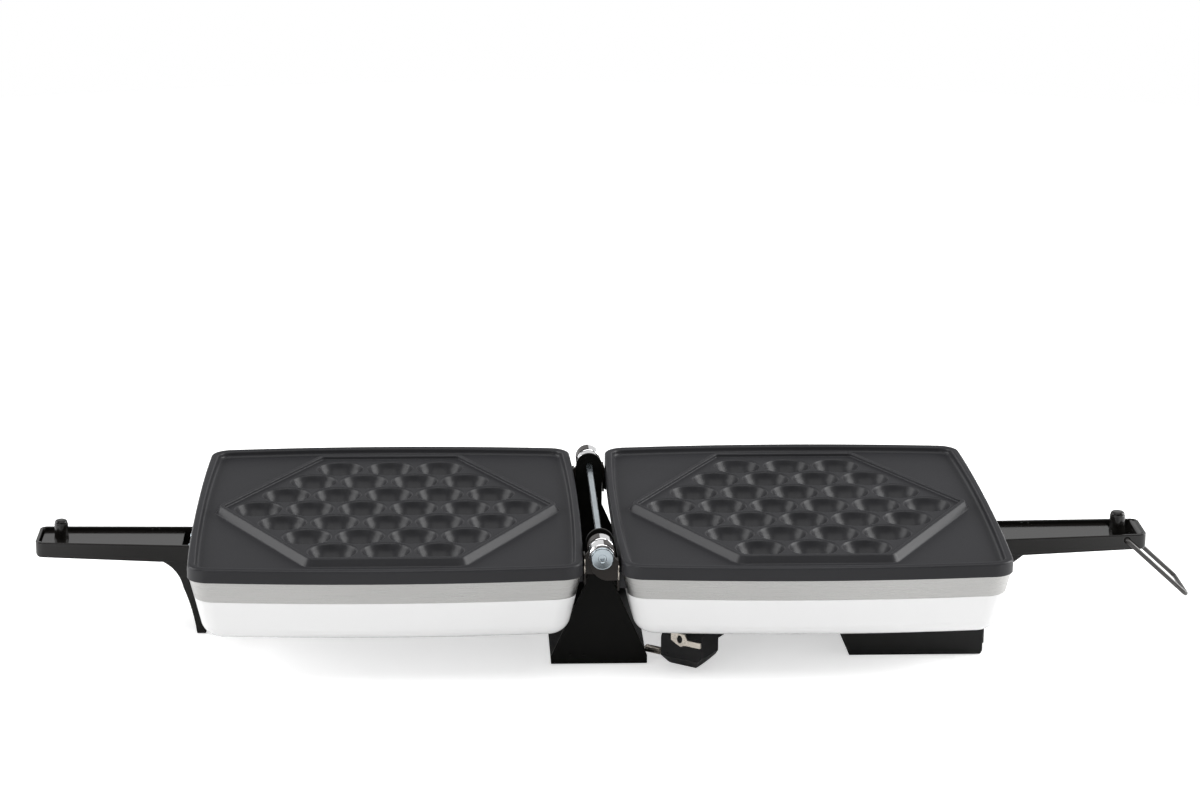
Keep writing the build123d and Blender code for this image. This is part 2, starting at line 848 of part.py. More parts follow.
# Hinge pin with its dimpled head in front
with BuildPart() as hinge_pin:
    pin_front = pin_head_face - pin_head_thickness
    pin_rear = pin_nut_face + pin_nut_thickness + pin_end_length
    with BuildSketch(facing_front(pin_head_face)):
        with Locations((0, hinge_height)):
            Circle(pin_head_radius)
    extrude(amount=pin_head_thickness)
    with BuildSketch(facing_front(pin_rear)):
        with Locations((0, hinge_height)):
            Circle(pin_radius)
    extrude(amount=pin_rear - pin_head_face)
    with BuildSketch(facing_front(pin_front)):
        with Locations((0, hinge_height)):
            Circle(pin_dimple_radius)
    extrude(amount=-pin_dimple_depth, mode=Mode.SUBTRACT)
hinge_pin.part.label = "hinge_pin"
export_step(hinge_pin.part, "parts/hinge_pin.step")

with BuildPart() as hinge_pin_nut:
    with BuildSketch(facing_front(pin_nut_face + pin_nut_thickness)):
        with Locations((0, hinge_height)):
            Circle(pin_head_radius)
            Circle(pin_radius + pin_hole_clearance, mode=Mode.SUBTRACT)
    extrude(amount=pin_nut_thickness)
hinge_pin_nut.part.label = "hinge_pin_nut"
export_step(hinge_pin_nut.part, "parts/hinge_pin_nut.step")

with BuildPart() as hinge_spacer:
    with BuildSketch(facing_front(stand_front)):
        with Locations((0, hinge_height)):
            Circle(spacer_radius)
            Circle(knuckle_bore, mode=Mode.SUBTRACT)
    extrude(amount=spacer_length)
hinge_spacer.part.label = "hinge_spacer"
export_step(hinge_spacer.part, "parts/hinge_spacer.step")

# Posts that stand on the floors of the troughs
base_post_foot = handle_bottom(base_post_x + base_post_length / 2) + handle_floor
lid_post_foot = handle_bottom(lid_post_x + lid_post_radius) + handle_floor
with BuildPart() as base_post:
    with BuildSketch(Plane.XY.offset(base_post_foot)) as foot:
        with Locations((base_post_x, 0)):
            RectangleRounded(base_post_length, base_post_width, base_post_corner)
    extrude(amount=base_post_top - base_post_foot)
    fillet(base_post.faces().sort_by(Axis.Z)[-1].edges(), post_round)
base_post.part.label = "base_post"
export_step(base_post.part, "parts/base_post.step")

with BuildPart() as lid_post:
    with BuildSketch(Plane.XY.offset(lid_post_foot)):
        with Locations((-lid_post_x, 0)):
            Circle(lid_post_radius)
    extrude(amount=lid_post_top - lid_post_foot)
    fillet(lid_post.faces().sort_by(Axis.Z)[-1].edges(), post_round)
lid_post.part.label = "lid_post"
export_step(lid_post.part, "parts/lid_post.step")

# Latch bail: one bent wire whose ends turn in the walls of the base handle
with BuildPart() as latch_bail:
    wall_outer = handle_half_width(bail_x)
    end_bend = bail_wire + bail_side_clearance
    leg_y = wall_outer + end_bend
    end_y = wall_outer - handle_wall - bail_end
    bar_x = bail_x + bail_length * cos(radians(bail_rest))
    bar_z = bail_level - bail_length * sin(radians(bail_rest))
    with BuildLine() as wire:
        FilletPolyline(
            (bail_x, -end_y, bail_level),
            (bail_x, -leg_y, bail_level),
            (bar_x, -leg_y, bar_z),
            (bar_x, leg_y, bar_z),
            (bail_x, leg_y, bail_level),
            (bail_x, end_y, bail_level),
            radius=[end_bend, bail_bend, bail_bend, end_bend],
        )
    with BuildSketch(Plane(origin=wire.line @ 0, z_dir=wire.line % 0)):
        Circle(bail_wire)
    sweep()
latch_bail.part.label = "latch_bail"
export_step(latch_bail.part, "parts/latch_bail.step")

# Control box, open to the casing above it
with BuildPart() as control_box:
    with BuildSketch(Plane.XZ):
        with BuildLine():
            Polyline(
                (box_bottom_start, 0),
                (box_end - box_end_chamfer, 0),
                (box_end, 2 * box_end_chamfer),
                (box_end, shell_bottom),
                (box_top_start, shell_bottom),
                box_knee,
                (box_bottom_start, 0),
            )
        make_face()
    extrude(amount=box_half_high, both=True)
    with BuildSketch(Plane.YZ.offset(box_top_start - box_wall)):
        with BuildLine():
            Polyline(
                (-box_half_low, 0),
                (box_half_low, 0),
                (box_half_high, shell_bottom),
                (-box_half_high, shell_bottom),
                close=True,
            )
        make_face()
    extrude(amount=box_end - box_top_start + 2 * box_wall, mode=Mode.INTERSECT)
    offset(amount=-box_wall, openings=control_box.faces().sort_by(Axis.Z)[-1])
    with BuildSketch(Plane.XY.offset(box_wall)):
        with Locations(*box_screw_places()):
            Circle(box_post_radius)
    extrude(amount=shell_bottom - box_wall)
    with BuildSketch(Plane.XY):
        with Locations(*box_screw_places()):
            Circle(screw_hole)
    extrude(amount=shell_bottom, mode=Mode.SUBTRACT)
    with BuildSketch(Plane.XY):
        with Locations(*box_screw_places()):
            Circle(screw_head_radius + screw_head_clearance)
    extrude(amount=box_screw_seat, mode=Mode.SUBTRACT)
    with BuildSketch(Plane.YZ.offset(box_end)):
        with Locations((switch_y, switch_level)):
            Rectangle(
                switch_width - 2 * switch_body_step + 2 * switch_hole_clearance,
                switch_height - 2 * switch_body_step + 2 * switch_hole_clearance,
            )
    extrude(amount=-box_wall, mode=Mode.SUBTRACT)
    with BuildSketch(Plane.YZ.offset(box_top_start)):
        with Locations((gland_y, gland_level)):
            Circle(gland_neck_radius + gland_neck_clearance)
    extrude(amount=box_bottom_start + box_wall - box_top_start, mode=Mode.SUBTRACT)
control_box.part.label = "control_box"
export_step(control_box.part, "parts/control_box.step")

with BuildPart() as box_screws:
    for x, y in box_screw_places():
        screw(
            Plane(origin=(x, y, box_screw_seat), z_dir=(0, 0, -1)),
            shell_bottom - box_screw_seat + box_screw_grip,
        )
box_screws.part.label = "box_screws"
export_step(box_screws.part, "parts/box_screws.step")

# Switch: housing with its bezel, and the rocker lying with its lower wing flush
with BuildPart() as switch_housing:
    with BuildSketch(Plane.YZ.offset(box_end)):
        with Locations((switch_y, switch_level)):
            Rectangle(switch_width, switch_height)
    extrude(amount=switch_proud)
    with BuildSketch(Plane.YZ.offset(box_end)):
        with Locations((switch_y, switch_level)):
            Rectangle(switch_width - 2 * switch_body_step, switch_height - 2 * switch_body_step)
    extrude(amount=-switch_body_depth)
    with BuildSketch(Plane.YZ.offset(box_end + switch_proud)):
        with Locations((switch_y, switch_level)):
            Rectangle(switch_width - 2 * switch_wall, switch_height - 2 * switch_wall)
    extrude(amount=-switch_proud - switch_cavity_depth, mode=Mode.SUBTRACT)
    rocker_x = box_end + switch_proud - rocker_setback - rocker_depth
    with BuildSketch(facing_front(switch_y)):
        with Locations((rocker_x, switch_level)):
            Circle(rocker_trunnion + rocker_trunnion_clearance)
    trunnion_hole = switch_width / 2 - switch_wall + rocker_trunnion_reach + rocker_trunnion_clearance
    extrude(amount=trunnion_hole, both=True, mode=Mode.SUBTRACT)
switch_housing.part.label = "switch_housing"
export_step(switch_housing.part, "parts/switch_housing.step")

with BuildPart() as switch_rocker:
    wing = rocker_half * tan(radians(rocker_angle))
    rocker_plane = Plane(
        origin=(rocker_x, switch_y, switch_level),
        x_dir=(cos(radians(rocker_angle)), 0, -sin(radians(rocker_angle))),
        z_dir=(0, -1, 0),
    )
    with BuildSketch(rocker_plane):
        with BuildLine():
            Polyline(
                (0, -rocker_half),
                (rocker_depth + wing, -rocker_half),
                (rocker_depth, 0),
                (rocker_depth + wing, rocker_half),
                (0, rocker_half),
                close=True,
            )
        make_face()
    extrude(amount=switch_width / 2 - switch_wall - rocker_side_clearance, both=True)
    with BuildSketch(rocker_plane):
        Circle(rocker_trunnion)
    extrude(amount=switch_width / 2 - switch_wall + rocker_trunnion_reach, both=True)
switch_rocker.part.label = "switch_rocker"
export_step(switch_rocker.part, "parts/switch_rocker.step")

# Pieces inside: thermostat and fuse under the block, terminal block on the box floor
with BuildPart() as thermostat:
    with BuildSketch(Plane.XY.offset(block_bottom)):
        with Locations((half_centre, 0)):
            Circle(thermostat_radius)
    extrude(amount=-thermostat_height)
    with BuildSketch(Plane.XY.offset(block_bottom - thermostat_height)):
        with Locations((half_centre, 0)):
            Circle(thermostat_cap_radius)
    extrude(amount=-thermostat_cap_height)
thermostat.part.label = "thermostat"
export_step(thermostat.part, "parts/thermostat.step")

with BuildPart() as thermal_fuse:
    fuse_x = half_centre + fuse_offset
    with BuildSketch(Plane.YZ.offset(fuse_x - fuse_length / 2)):
        with Locations((0, block_bottom - fuse_radius - seat_clearance)):
            Circle(fuse_radius)
    extrude(amount=fuse_length)
thermal_fuse.part.label = "thermal_fuse"
export_step(thermal_fuse.part, "parts/thermal_fuse.step")

with BuildPart() as terminal_block:
    with BuildSketch(Plane.XY.offset(box_wall)):
        with Locations((terminal_x, terminal_y)):
            Rectangle(terminal_length, terminal_width)
    extrude(amount=terminal_height)
    with BuildSketch(Plane.XY.offset(box_wall + terminal_height)):
        with Locations((terminal_x, terminal_y)):
            with GridLocations(terminal_length / terminal_ways, terminal_width / 2, terminal_ways, 2):
                Circle(terminal_screw_radius)
    extrude(amount=-terminal_screw_depth, mode=Mode.SUBTRACT)
terminal_block.part.label = "terminal_block"
export_step(terminal_block.part, "parts/terminal_block.step")

# Strain relief in the slanting end of the control box
knee_x, knee_z = box_knee
gland_wall = box_bottom_start + (knee_x - box_bottom_start) * gland_level / knee_z
with BuildPart() as cable_gland:
    with BuildSketch(Plane(origin=(gland_tip, gland_y, gland_level), z_dir=(1, 0, 0))):
        Circle(gland_tip_radius)
    with BuildSketch(Plane(origin=(box_bottom_start, gland_y, gland_level), z_dir=(1, 0, 0))):
        Circle(gland_root_radius)
    loft()
    with BuildSketch(Plane.XZ):
        with BuildLine():
            Polyline(
                (box_bottom_start, 0),
                box_knee,
                (box_top_start, shell_bottom),
                (box_end, shell_bottom),
                (box_end, -knee_z),
                (box_bottom_start + (box_bottom_start - knee_x), -knee_z),
                (box_bottom_start, 0),
            )
        make_face()
    extrude(amount=box_half_high, both=True, mode=Mode.SUBTRACT)
    with BuildSketch(Plane.YZ.offset(gland_wall - box_wall)):
        with Locations((gland_y, gland_level)):
            Circle(gland_neck_radius)
    extrude(amount=3 * box_wall + gland_flange)
    with BuildSketch(Plane.YZ.offset(gland_wall + 2 * box_wall)):
        with Locations((gland_y, gland_level)):
            Circle(gland_flange_radius)
    extrude(amount=gland_flange)
cable_gland.part.label = "cable_gland"
export_step(cable_gland.part, "parts/cable_gland.step")


def corner_radii(points):
    """Largest arc at each corner of a cord's route, and the runs between its points."""
    runs = [(b - a).length for a, b in zip(points, points[1:])]
    radii = []
    for i in range(1, len(points) - 1):
        turn = (points[i] - points[i - 1]).get_angle(points[i + 1] - points[i])
        radii.append(bend_share * min(runs[i - 1], runs[i]) / tan(radians(turn) / 2))
    return runs, radii


def make_cord(name, route):
    """Tube along straight runs and tangent arcs; prints its arcs, runs and volume."""
    points = [Vector(*p) for p in route]
    runs, radii = corner_radii(points)
    with BuildPart() as cord:
        with BuildLine() as path:
            FilletPolyline(*points, radius=radii)
        with BuildSketch(Plane(origin=path.line @ 0, z_dir=path.line % 0)):
            Circle(cord_radius)
        sweep()
    length = path.wire().length
    print(name, "runs", [round(r, 1) for r in runs], "radii", [round(r, 1) for r in radii])
    print(name, "length", round(length, 1), "volume", round(cord.part.volume, 1))
    print(name, "section times length", round(pi * cord_radius**2 * length, 1))
    cord.part.label = name
    export_step(cord.part, f"parts/{name}.step")
    return length


# Coil: half turns that spiral in, climb, and spiral out again, twice over
coil_in = [coil_outer_start - i * coil_step_in for i in range(4)]
coil_out = [coil_inner_end + i * coil_step_out for i in range(2)]
coil_radii = 2 * (coil_in + coil_out) + [coil_inner_end + 2 * coil_step_out]
coil_levels = [cord_radius + i * coil_layer for i in (0, 0, 0, 1, 1, 1, 2, 2, 2, 3, 3, 3, 3)]
coil_points = []
for i, (radius, level) in enumerate(zip(coil_radii, coil_levels)):
    across = -radius if i % 2 == 0 else radius
    coil_points.append(Vector(coil_x, coil_y + across, level))


def coil_turn(i, share):
    """Point on half turn i of the coil, share from 0 to 1 of the way round."""
    start, end = coil_points[i], coil_points[i + 1]
    middle = (start + end) / 2
    arm = (start - end) / 2
    bulge = -1 if i % 2 == 0 else 1
    angle = share * pi
    return middle + arm * cos(angle) + Vector(bulge * arm.length * sin(angle), 0, 0)


coil_halves = len(coil_points) - 1
coil_end = coil_turn(coil_halves - 1, 0.5)
coil_lead_in = coil_points[0] + Vector(2 * cord_radius, 0, 0)
coil_lead_out = coil_end - Vector(0, 2 * cord_radius, 0)
with BuildPart() as mains_cord_coil:
    with BuildLine() as coil_path:
        Line(coil_lead_in, coil_points[0])
        for i in range(coil_halves - 1):
            ThreePointArc(coil_turn(i, 0), coil_turn(i, 0.5), coil_turn(i, 1))
        ThreePointArc(
            coil_turn(coil_halves - 1, 0), coil_turn(coil_halves - 1, 0.25), coil_end
        )
        Line(coil_end, coil_lead_out)
    with BuildSketch(Plane(origin=coil_path.line @ 0, z_dir=coil_path.line % 0)):
        Circle(cord_radius)
    sweep()
mains_cord_coil.part.label = "mains_cord_coil"
export_step(mains_cord_coil.part, "parts/mains_cord_coil.step")


def coil_clearance(count, skip):
    """Least gap between turns, from count points on each half turn, leaving out the next ones."""
    points = []
    for i in range(coil_halves):
        last = 0.5 if i == coil_halves - 1 else 1.0
        points += [coil_turn(i, last * k / count) for k in range(count)]
    return min(
        (q - p).length - 2 * cord_radius
        for i, p in enumerate(points)
        for q in points[i + skip :: 2]
    )


coil_length = coil_path.wire().length
print("coil length", round(coil_length, 1), "least gap", round(coil_clearance(60, 45), 3))
print("coil volume", round(mains_cord_coil.part.volume, 1))
print("coil section times length", round(pi * cord_radius**2 * coil_length, 1))

# Angle plug: its plane lies on its face, x runs back from the pins, y towards the cord
plug_plane = Plane(
    origin=plug_face,
    x_dir=(cos(radians(plug_angle)), sin(radians(plug_angle)), 0),
    z_dir=(0, 0, 1),
)
plug_face_plane = Plane(origin=plug_face, x_dir=plug_plane.y_dir, z_dir=plug_plane.x_dir)
plug_side_plane = Plane(origin=plug_face, x_dir=plug_plane.x_dir, z_dir=-plug_plane.y_dir)
with BuildPart() as plug_body:
    with BuildSketch(plug_face_plane):
        Circle(plug_radius)
    extrude(amount=plug_length)
    with BuildSketch(plug_side_plane):
        with BuildLine():
            Polyline(
                (0, -plug_radius),
                (plug_length - plug_chamfer_length, -plug_radius),
                (plug_length, plug_chamfer_height - plug_radius),
                (plug_length, plug_radius),
                (0, plug_radius),
                close=True,
            )
        make_face()
    extrude(amount=plug_radius, both=True, mode=Mode.INTERSECT)
    with BuildSketch(plug_plane) as plan:
        with BuildLine():
            Polyline(
                (0, -clip_flat),
                (clip_end + clip_sheet, -clip_flat),
                (plug_length, -plug_waist),
                (plug_length, plug_waist),
                (plug_waist_start, plug_radius),
                (0, plug_radius),
                close=True,
            )
        make_face()
        fillet(plan.vertices().group_by(Axis.X)[-1], plug_edge)
    extrude(amount=plug_radius, both=True, mode=Mode.INTERSECT)
    relief_start = plug_plane.from_local_coords((plug_relief_place, plug_waist / 2, 0))
    relief_tip = plug_plane.from_local_coords(
        (plug_relief_place, plug_radius + plug_relief_length, 0)
    )
    with BuildSketch(Plane(origin=relief_start, z_dir=plug_plane.y_dir)):
        Circle(plug_relief_root)
    with BuildSketch(Plane(origin=relief_tip, z_dir=plug_plane.y_dir)):
        Circle(plug_relief_tip)
    loft()
plug_body.part.label = "plug_body"
export_step(plug_body.part, "parts/plug_body.step")

with BuildPart() as plug_pins:
    with BuildSketch(plug_face_plane):
        with Locations((0, -plug_pin_spacing / 2), (0, plug_pin_spacing / 2)):
            Circle(plug_pin_radius)
    extrude(amount=-plug_pin_length)
    tips = plug_pins.faces().filter_by(GeomType.PLANE).sort_by(Axis(plug_face, plug_plane.x_dir))[:2]
    fillet(tips.edges(), plug_pin_round)
plug_pins.part.label = "plug_pins"
export_step(plug_pins.part, "parts/plug_pins.step")

with BuildPart() as plug_earth_clip:
    clip_plane = Plane(
        origin=plug_plane.from_local_coords((0, -clip_flat, 0)),
        x_dir=plug_plane.x_dir,
        z_dir=-plug_plane.y_dir,
    )
    with BuildSketch(clip_plane):
        with Locations((clip_start, 0)):
            Rectangle(clip_end - clip_start, clip_strip, align=(Align.MIN, Align.CENTER))
            Rectangle(clip_tab_length, clip_tab_height, align=(Align.MIN, Align.CENTER))
        with Locations((clip_hole_place, 0)):
            Circle(clip_hole, mode=Mode.SUBTRACT)
    extrude(amount=clip_sheet)
plug_earth_clip.part.label = "plug_earth_clip"
export_step(plug_earth_clip.part, "parts/plug_earth_clip.step")

# The two loose stretches of the cord, from the strain relief and to the plug
gland_face = (gland_tip, gland_y, gland_level)
first_run, second_run = box_end_runs
box_end_route = [
    (gland_tip - first_run, gland_y, gland_level),
    (gland_tip - second_run, gland_y, cord_radius),
]
box_end_length = make_cord("mains_cord_box_end", [gland_face, *box_end_route, coil_lead_in])
cord_end = Vector(*relief_tip)
last_bend = cord_end + plug_plane.y_dir * plug_end_run
plug_route = [(coil_x + x, coil_y + y, z) for x, y, z in plug_end_route]
plug_end_length = make_cord(
    "mains_cord_plug_end", [coil_lead_out, *plug_route, last_bend, cord_end]
)
print("cord length", round(box_end_length + coil_length + plug_end_length, 1))
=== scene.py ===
import json
from math import acos, atan2, cos, pi, radians, sin, sqrt, tan

import bmesh
import bpy
from bpy.props import FloatProperty, FloatVectorProperty, IntProperty, PointerProperty
from mathutils import Matrix, Vector


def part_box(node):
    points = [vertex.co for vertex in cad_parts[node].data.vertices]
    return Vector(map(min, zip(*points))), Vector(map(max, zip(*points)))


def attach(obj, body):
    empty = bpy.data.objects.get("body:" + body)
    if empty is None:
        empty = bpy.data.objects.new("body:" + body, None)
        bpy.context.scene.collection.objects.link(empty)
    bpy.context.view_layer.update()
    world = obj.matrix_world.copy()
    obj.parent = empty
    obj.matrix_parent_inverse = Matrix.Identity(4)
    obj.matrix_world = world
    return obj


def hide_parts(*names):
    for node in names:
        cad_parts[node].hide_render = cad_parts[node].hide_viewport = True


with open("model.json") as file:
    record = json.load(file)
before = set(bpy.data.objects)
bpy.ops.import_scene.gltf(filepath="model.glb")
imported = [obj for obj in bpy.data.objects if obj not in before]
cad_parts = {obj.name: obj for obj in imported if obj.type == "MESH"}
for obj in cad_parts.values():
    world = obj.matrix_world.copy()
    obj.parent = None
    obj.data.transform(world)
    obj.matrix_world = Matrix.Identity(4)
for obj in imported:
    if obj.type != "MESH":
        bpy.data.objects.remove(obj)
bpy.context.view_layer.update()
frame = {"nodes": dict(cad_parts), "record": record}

bl_info = {
    "name": "Bubble waffle maker",
    "version": (1, 0, 0),
    "blender": (4, 5, 0),
    "location": "3D View > Sidebar > Waffle maker",
    "description": "Dresses the packed frame of a hinged bubble waffle maker",
    "category": "Object",
}

MM = 0.001
HALVES = (("base", 1), ("lid", -1))  # the halves, and which way each lies from the hinge
UP, DOWN = (0, 0, 1), (0, 0, -1)
OUTWARD, INWARD = (1, 0, 0), (-1, 0, 0)
REARWARD, FORWARD = (0, 1, 0), (0, -1, 0)

# Outline of a half from above, in millimetres like all sizes here
HALF_CENTRE = 131.9
HALF_LENGTH = 243.7
HALF_WIDTH = 260.5
BOW_X = 4.25
BOW_Y = 5.95
BOW_LESS = (3.0, 2.6)
CORNER = 13.0

# Levels above the floor
HINGE_HEIGHT = 80.6
RIDGE_TOP = 80.4
RIM_TOP = 79.9
LAND = 78.0
TRAY = 75.2
RIM_BOTTOM = 70.9
BAND_BOTTOM = 57.7
BLOCK_BOTTOM = 63.0
PILLAR_BOTTOM = 50.1
SHELL_SCREW_LEVEL = 33.6
BOX_SCREW_LEVEL = 6.0

# Cooking plates; the hexagon is measured from its middle to a tip, a flat and a flat's end
RIM_WIDTH = 4.6
HEXAGON = (106.0, 106.5, 46.0)
HEXAGON_CORNER = 5.0
RIDGE_HALF = 1.3
RIDGE_SLOPE = 3.0
BLOCK_SETBACK = 6.0
BLOCK_CORNER = 11.0
CUP_ROWS = (3, 4, 5, 6, 5, 4, 3)
CUP_PITCH = 33.0
CUP_RADIUS = 15.0
CUP_DEPTH = 12.0
PILLARS = [(HALF_CENTRE + x, y) for x in (-92.0, 92.0) for y in (-96.0, 96.0)]

# Handles: rim and width of a trough run straight from a root; the rim rises, the width tapers
RIM_ROOT = (251.06, 59.9)
RIM_RISE = 2.0 / 103.94
SIDE_ROOT = (253.75, 20.25)
SIDE_TAPER = 3.25 / 101.25
TROUGH_WALL = 2.25
TROUGH_START = 262.5
TROUGH_ENDS = {"base": 334.5, "lid": 351.8}
TROUGH_DROP = 2.3
TROUGH_RIBS = (279.0, 283.3)
HANDLE_SCREWS = [(257.062, y, 55.3) for y in (-11.0, 11.0)]

# Hinge; a barrel's two ends along the pin, and the two angles that its dark sheet covers; that
# sheet is a painted reflection, dark where the chrome reflects dark surroundings
BARREL_RADIUS = 7.9
BARREL_BORE = 2.1
PIN_RADIUS = 2.0
PIN_START = -113.7
PIN_LENGTH = 219.3
ARM_BOTTOM = 59.4
ARM_REACH = 10.6
ARM_STARTS = {"base": (-111.4, 89.4), "lid": (-99.0, 81.3)}
BARRELS = {
    "base_knuckle_front": (-108.9, -99.3, 8, 150),
    "base_knuckle_rear": (91.9, 102.5, -150, 2),
    "lid_knuckle_front": (-96.5, -87.2, -150, -6),
    "lid_knuckle_rear": (83.8, 89.1, 38, 150),
}

# Cord and plug; the plug has its own axes: x out of its face, y to its side, z up
GLAND = Vector((132.0, -7.5, 8.0))
CORD_RADIUS = 3.5
COIL_X = 86.0
COIL_Y = 35.0
PLUG_PLACE = Matrix.Translation((45.5, -76.0, 15.0)) @ Matrix.Rotation(radians(-34.8), 4, "Z")
PLUG_RADIUS = 15.0
PLUG_DEPTH = 29.0
PLUG_FLAT = -13.0
PLUG_CORD = (23.0, 0, 5.0)

# Camera and lamps, in metres; each lamp's power is a setting times a share
CAMERA_PLACE = (-0.094408, -2.048127, 0.734588)
CAMERA_ANGLES = (2.728, 15.945, 0.429)
CAMERA_LENS = 100.74
LAMPS = {
    "top_light": ((0.0, -0.75, 1.9), (0.0, 0.0, 0.05), (2.4, 1.5), "key", 1.0),
    "fill_light": ((-1.2, -1.9, 0.55), (-0.1, 0.0, 0.0), (1.2, 0.6), "fill", 1.0),
    "left_light": ((-1.75, 0.35, 0.75), (0.0, 0.0, 0.05), (1.3, 1.2), "side", 1.0),
    "right_light": ((1.75, 0.35, 0.75), (0.0, 0.0, 0.05), (1.3, 1.2), "side", 1.6),
}

# Finishes: a colour or the setting that holds it, least and most roughness, spread of the
# colour, and the rest
FINISHES = {
    "nonstick_cast": ("plate", (0.38, 0.5), 0.1, dict(
        grain=1400.0, cloud=10.0, depth=0.03, specular=0.02, coat_rough=0.28, slope_coat=0.25)),
    "brushed_band": ("steel", (0.24, 0.36), 0.07, dict(
        metallic=1.0, stretch=(35.0, 35.0, 4200.0), depth=0.006, brushed=0.75)),
    "white_shell": ("shell", (0.16, 0.24), 0.01, dict(
        grain=260.0, cloud=6.0, depth=0.01, coat=0.2, coat_rough=0.12)),
    "black_gloss": ("handle", (0.1, 0.18), 0.1, dict(grain=1100.0, depth=0.006, specular=0.25)),
    "black_sheet": ((0.004, 0.004, 0.0035), (0.3, 0.42), 0.15, dict(grain=700.0, specular=0.08)),
    "arm_sheet": ((0.016, 0.0125, 0.0105), (0.26, 0.4), 0.15, dict(grain=700.0, specular=0.25)),
    "zinc_steel": ((0.43, 0.485, 0.52), (0.16, 0.3), 0.14, dict(
        metallic=1.0, grain=500.0, cloud=90.0, depth=0.01)),
    "chrome_knuckle": ((0.8, 0.8, 0.81), (0.04, 0.1), 0.03, dict(
        metallic=1.0, stretch=(400.0, 3000.0, 400.0), depth=0.001)),
    "dark_wire": ((0.05, 0.048, 0.046), (0.26, 0.38), 0.15, dict(metallic=0.4, depth=0.01)),
    "box_plastic": ((0.008, 0.008, 0.008), (0.36, 0.5), 0.12, dict(
        grain=1500.0, depth=0.03, specular=0.25)),
    "switch_black": ((0.007, 0.007, 0.007), (0.3, 0.4), 0.1, dict(grain=1500.0, specular=0.3)),
    "switch_green": ("rocker", (0.15, 0.22), 0.08, dict(grain=600.0, coat=0.4)),
    "heater_tube": ((0.3, 0.3, 0.28), (0.35, 0.5), 0.15, dict(metallic=1.0, grain=600.0)),
    "reflector_sheet": ((0.7, 0.7, 0.71), (0.2, 0.35), 0.05, dict(
        metallic=1.0, stretch=(30.0, 3000.0, 30.0), depth=0.004)),
    "thermostat_metal": ((0.62, 0.62, 0.62), (0.25, 0.4), 0.06, dict(metallic=1.0)),
    "fuse_sleeve": ((0.72, 0.7, 0.64), (0.6, 0.75), 0.05, dict(stretch=(2500.0, 300.0, 300.0))),
    "terminal_white": ((0.72, 0.72, 0.69), (0.4, 0.5), 0.04, {}),
    "cord_black": ((0.009, 0.009, 0.009), (0.42, 0.56), 0.15, dict(grain=1200.0, specular=0.3)),
    "plug_black": ((0.007, 0.007, 0.0075), (0.3, 0.44), 0.12, dict(
        grain=1300.0, depth=0.03, specular=0.25)),
    "nickel": ((0.72, 0.66, 0.58), (0.22, 0.34), 0.05, dict(
        metallic=1.0, grain=700.0, cloud=60.0, depth=0.004)),
}


# Settings


def fillet(name, description, size):
    """A setting for the rounding of an edge, in millimetres."""
    return FloatProperty(name=name, description=description, default=size * MM, unit="LENGTH")


def tint(name, description, colour):
    """A setting for a colour."""
    return FloatVectorProperty(
        name=name, description=description, default=colour, subtype="COLOR")


def power(name, description, watts):
    """A setting for the power of a lamp."""
    return FloatProperty(name=name, description=description, default=watts, unit="POWER")


def factor(name, description, share):
    """A setting for a strength."""
    return FloatProperty(name=name, description=description, default=share, subtype="FACTOR")


class PlateSettings(bpy.types.PropertyGroup):
    """Softness of the cast cooking plates"""

    lip: fillet("Cup lip", "Radius of the lip of each cup", 1.8)
    tray: fillet("Tray fillet", "Radius where the tray meets the rim", 2.4)
    edge: fillet("Rim edge", "Radius along the top of the rim", 1.7)
    around: IntProperty(name="Cup facets", description="Faces round each cup", default=44, min=16)


class EdgeSettings(bpy.types.PropertyGroup):
    """Rounding of the moulded and stamped pieces"""

    moulded: fillet("Moulded edge", "Rounding of the handles and boxes", 0.7)
    sheet: fillet("Sheet edge", "Rounding of the cut sheet", 0.35)
    thin: fillet("Thin edge", "Rounding of the bands", 0.16)


class FinishSettings(bpy.types.PropertyGroup):
    """Colours of the main finishes"""

    plate: tint("Plates", "Colour of the non-stick coat", (0.028, 0.028, 0.0302))
    steel: tint("Bands", "Colour of the brushed bands", (0.46, 0.456, 0.447))
    shell: tint("Casings", "Colour of the casing shells", (0.83, 0.83, 0.83))
    handle: tint("Handles", "Colour of the black mouldings", (0.006, 0.0055, 0.005))
    rocker: tint("Rocker", "Colour of the switch rocker", (0.0, 0.36, 0.10))


class StageSettings(bpy.types.PropertyGroup):
    """Floor and lights"""

    floor: tint("Floor", "Colour of the floor", (0.80, 0.80, 0.80))
    show_white: factor("White floor", "White that is added to the floor as seen", 0.54)
    flank: factor("Flanks", "White that reflections see on the floor beside the object", 1.5)
    key: power("Top light", "Power of the large light above", 25.0)
    fill: power("Fill light", "Power of the low light at the front left", 6.0)
    side: power("Side lights", "Power of the left light; the right one has more", 24.0)
    room: factor("Room", "Strength of the light from all round", 0.45)
    back: factor("Bright side", "Strength of the room behind the object in reflections", 0.78)
    dark: factor("Dark side", "Strength of the room behind the camera in reflections", 0.05)


# Materials

MATERIALS = {}


def feed(node, feeds):
    """Put a socket or a value on each of a node's inputs."""
    for name, source in feeds.items():
        if hasattr(source, "is_output"):
            node.id_data.links.new(source, node.inputs[name])
        else:
            node.inputs[name].default_value = source


def add_node(tree, kind, feeds=None, **values):
    """A shader node with its settings and what feeds it."""
    node = tree.nodes.new("ShaderNode" + kind)
    for name, value in values.items():
        setattr(node, name, value)
    feed(node, feeds or {})
    return node


def add_group(tree, name, feeds):
    """What one of the node groups puts out."""
    return add_node(tree, "Group", feeds, node_tree=bpy.data.node_groups[name]).outputs


def add_math(tree, operation, *feeds):
    """What a Math node puts out."""
    return add_node(tree, "Math", dict(enumerate(feeds)), operation=operation).outputs[0]


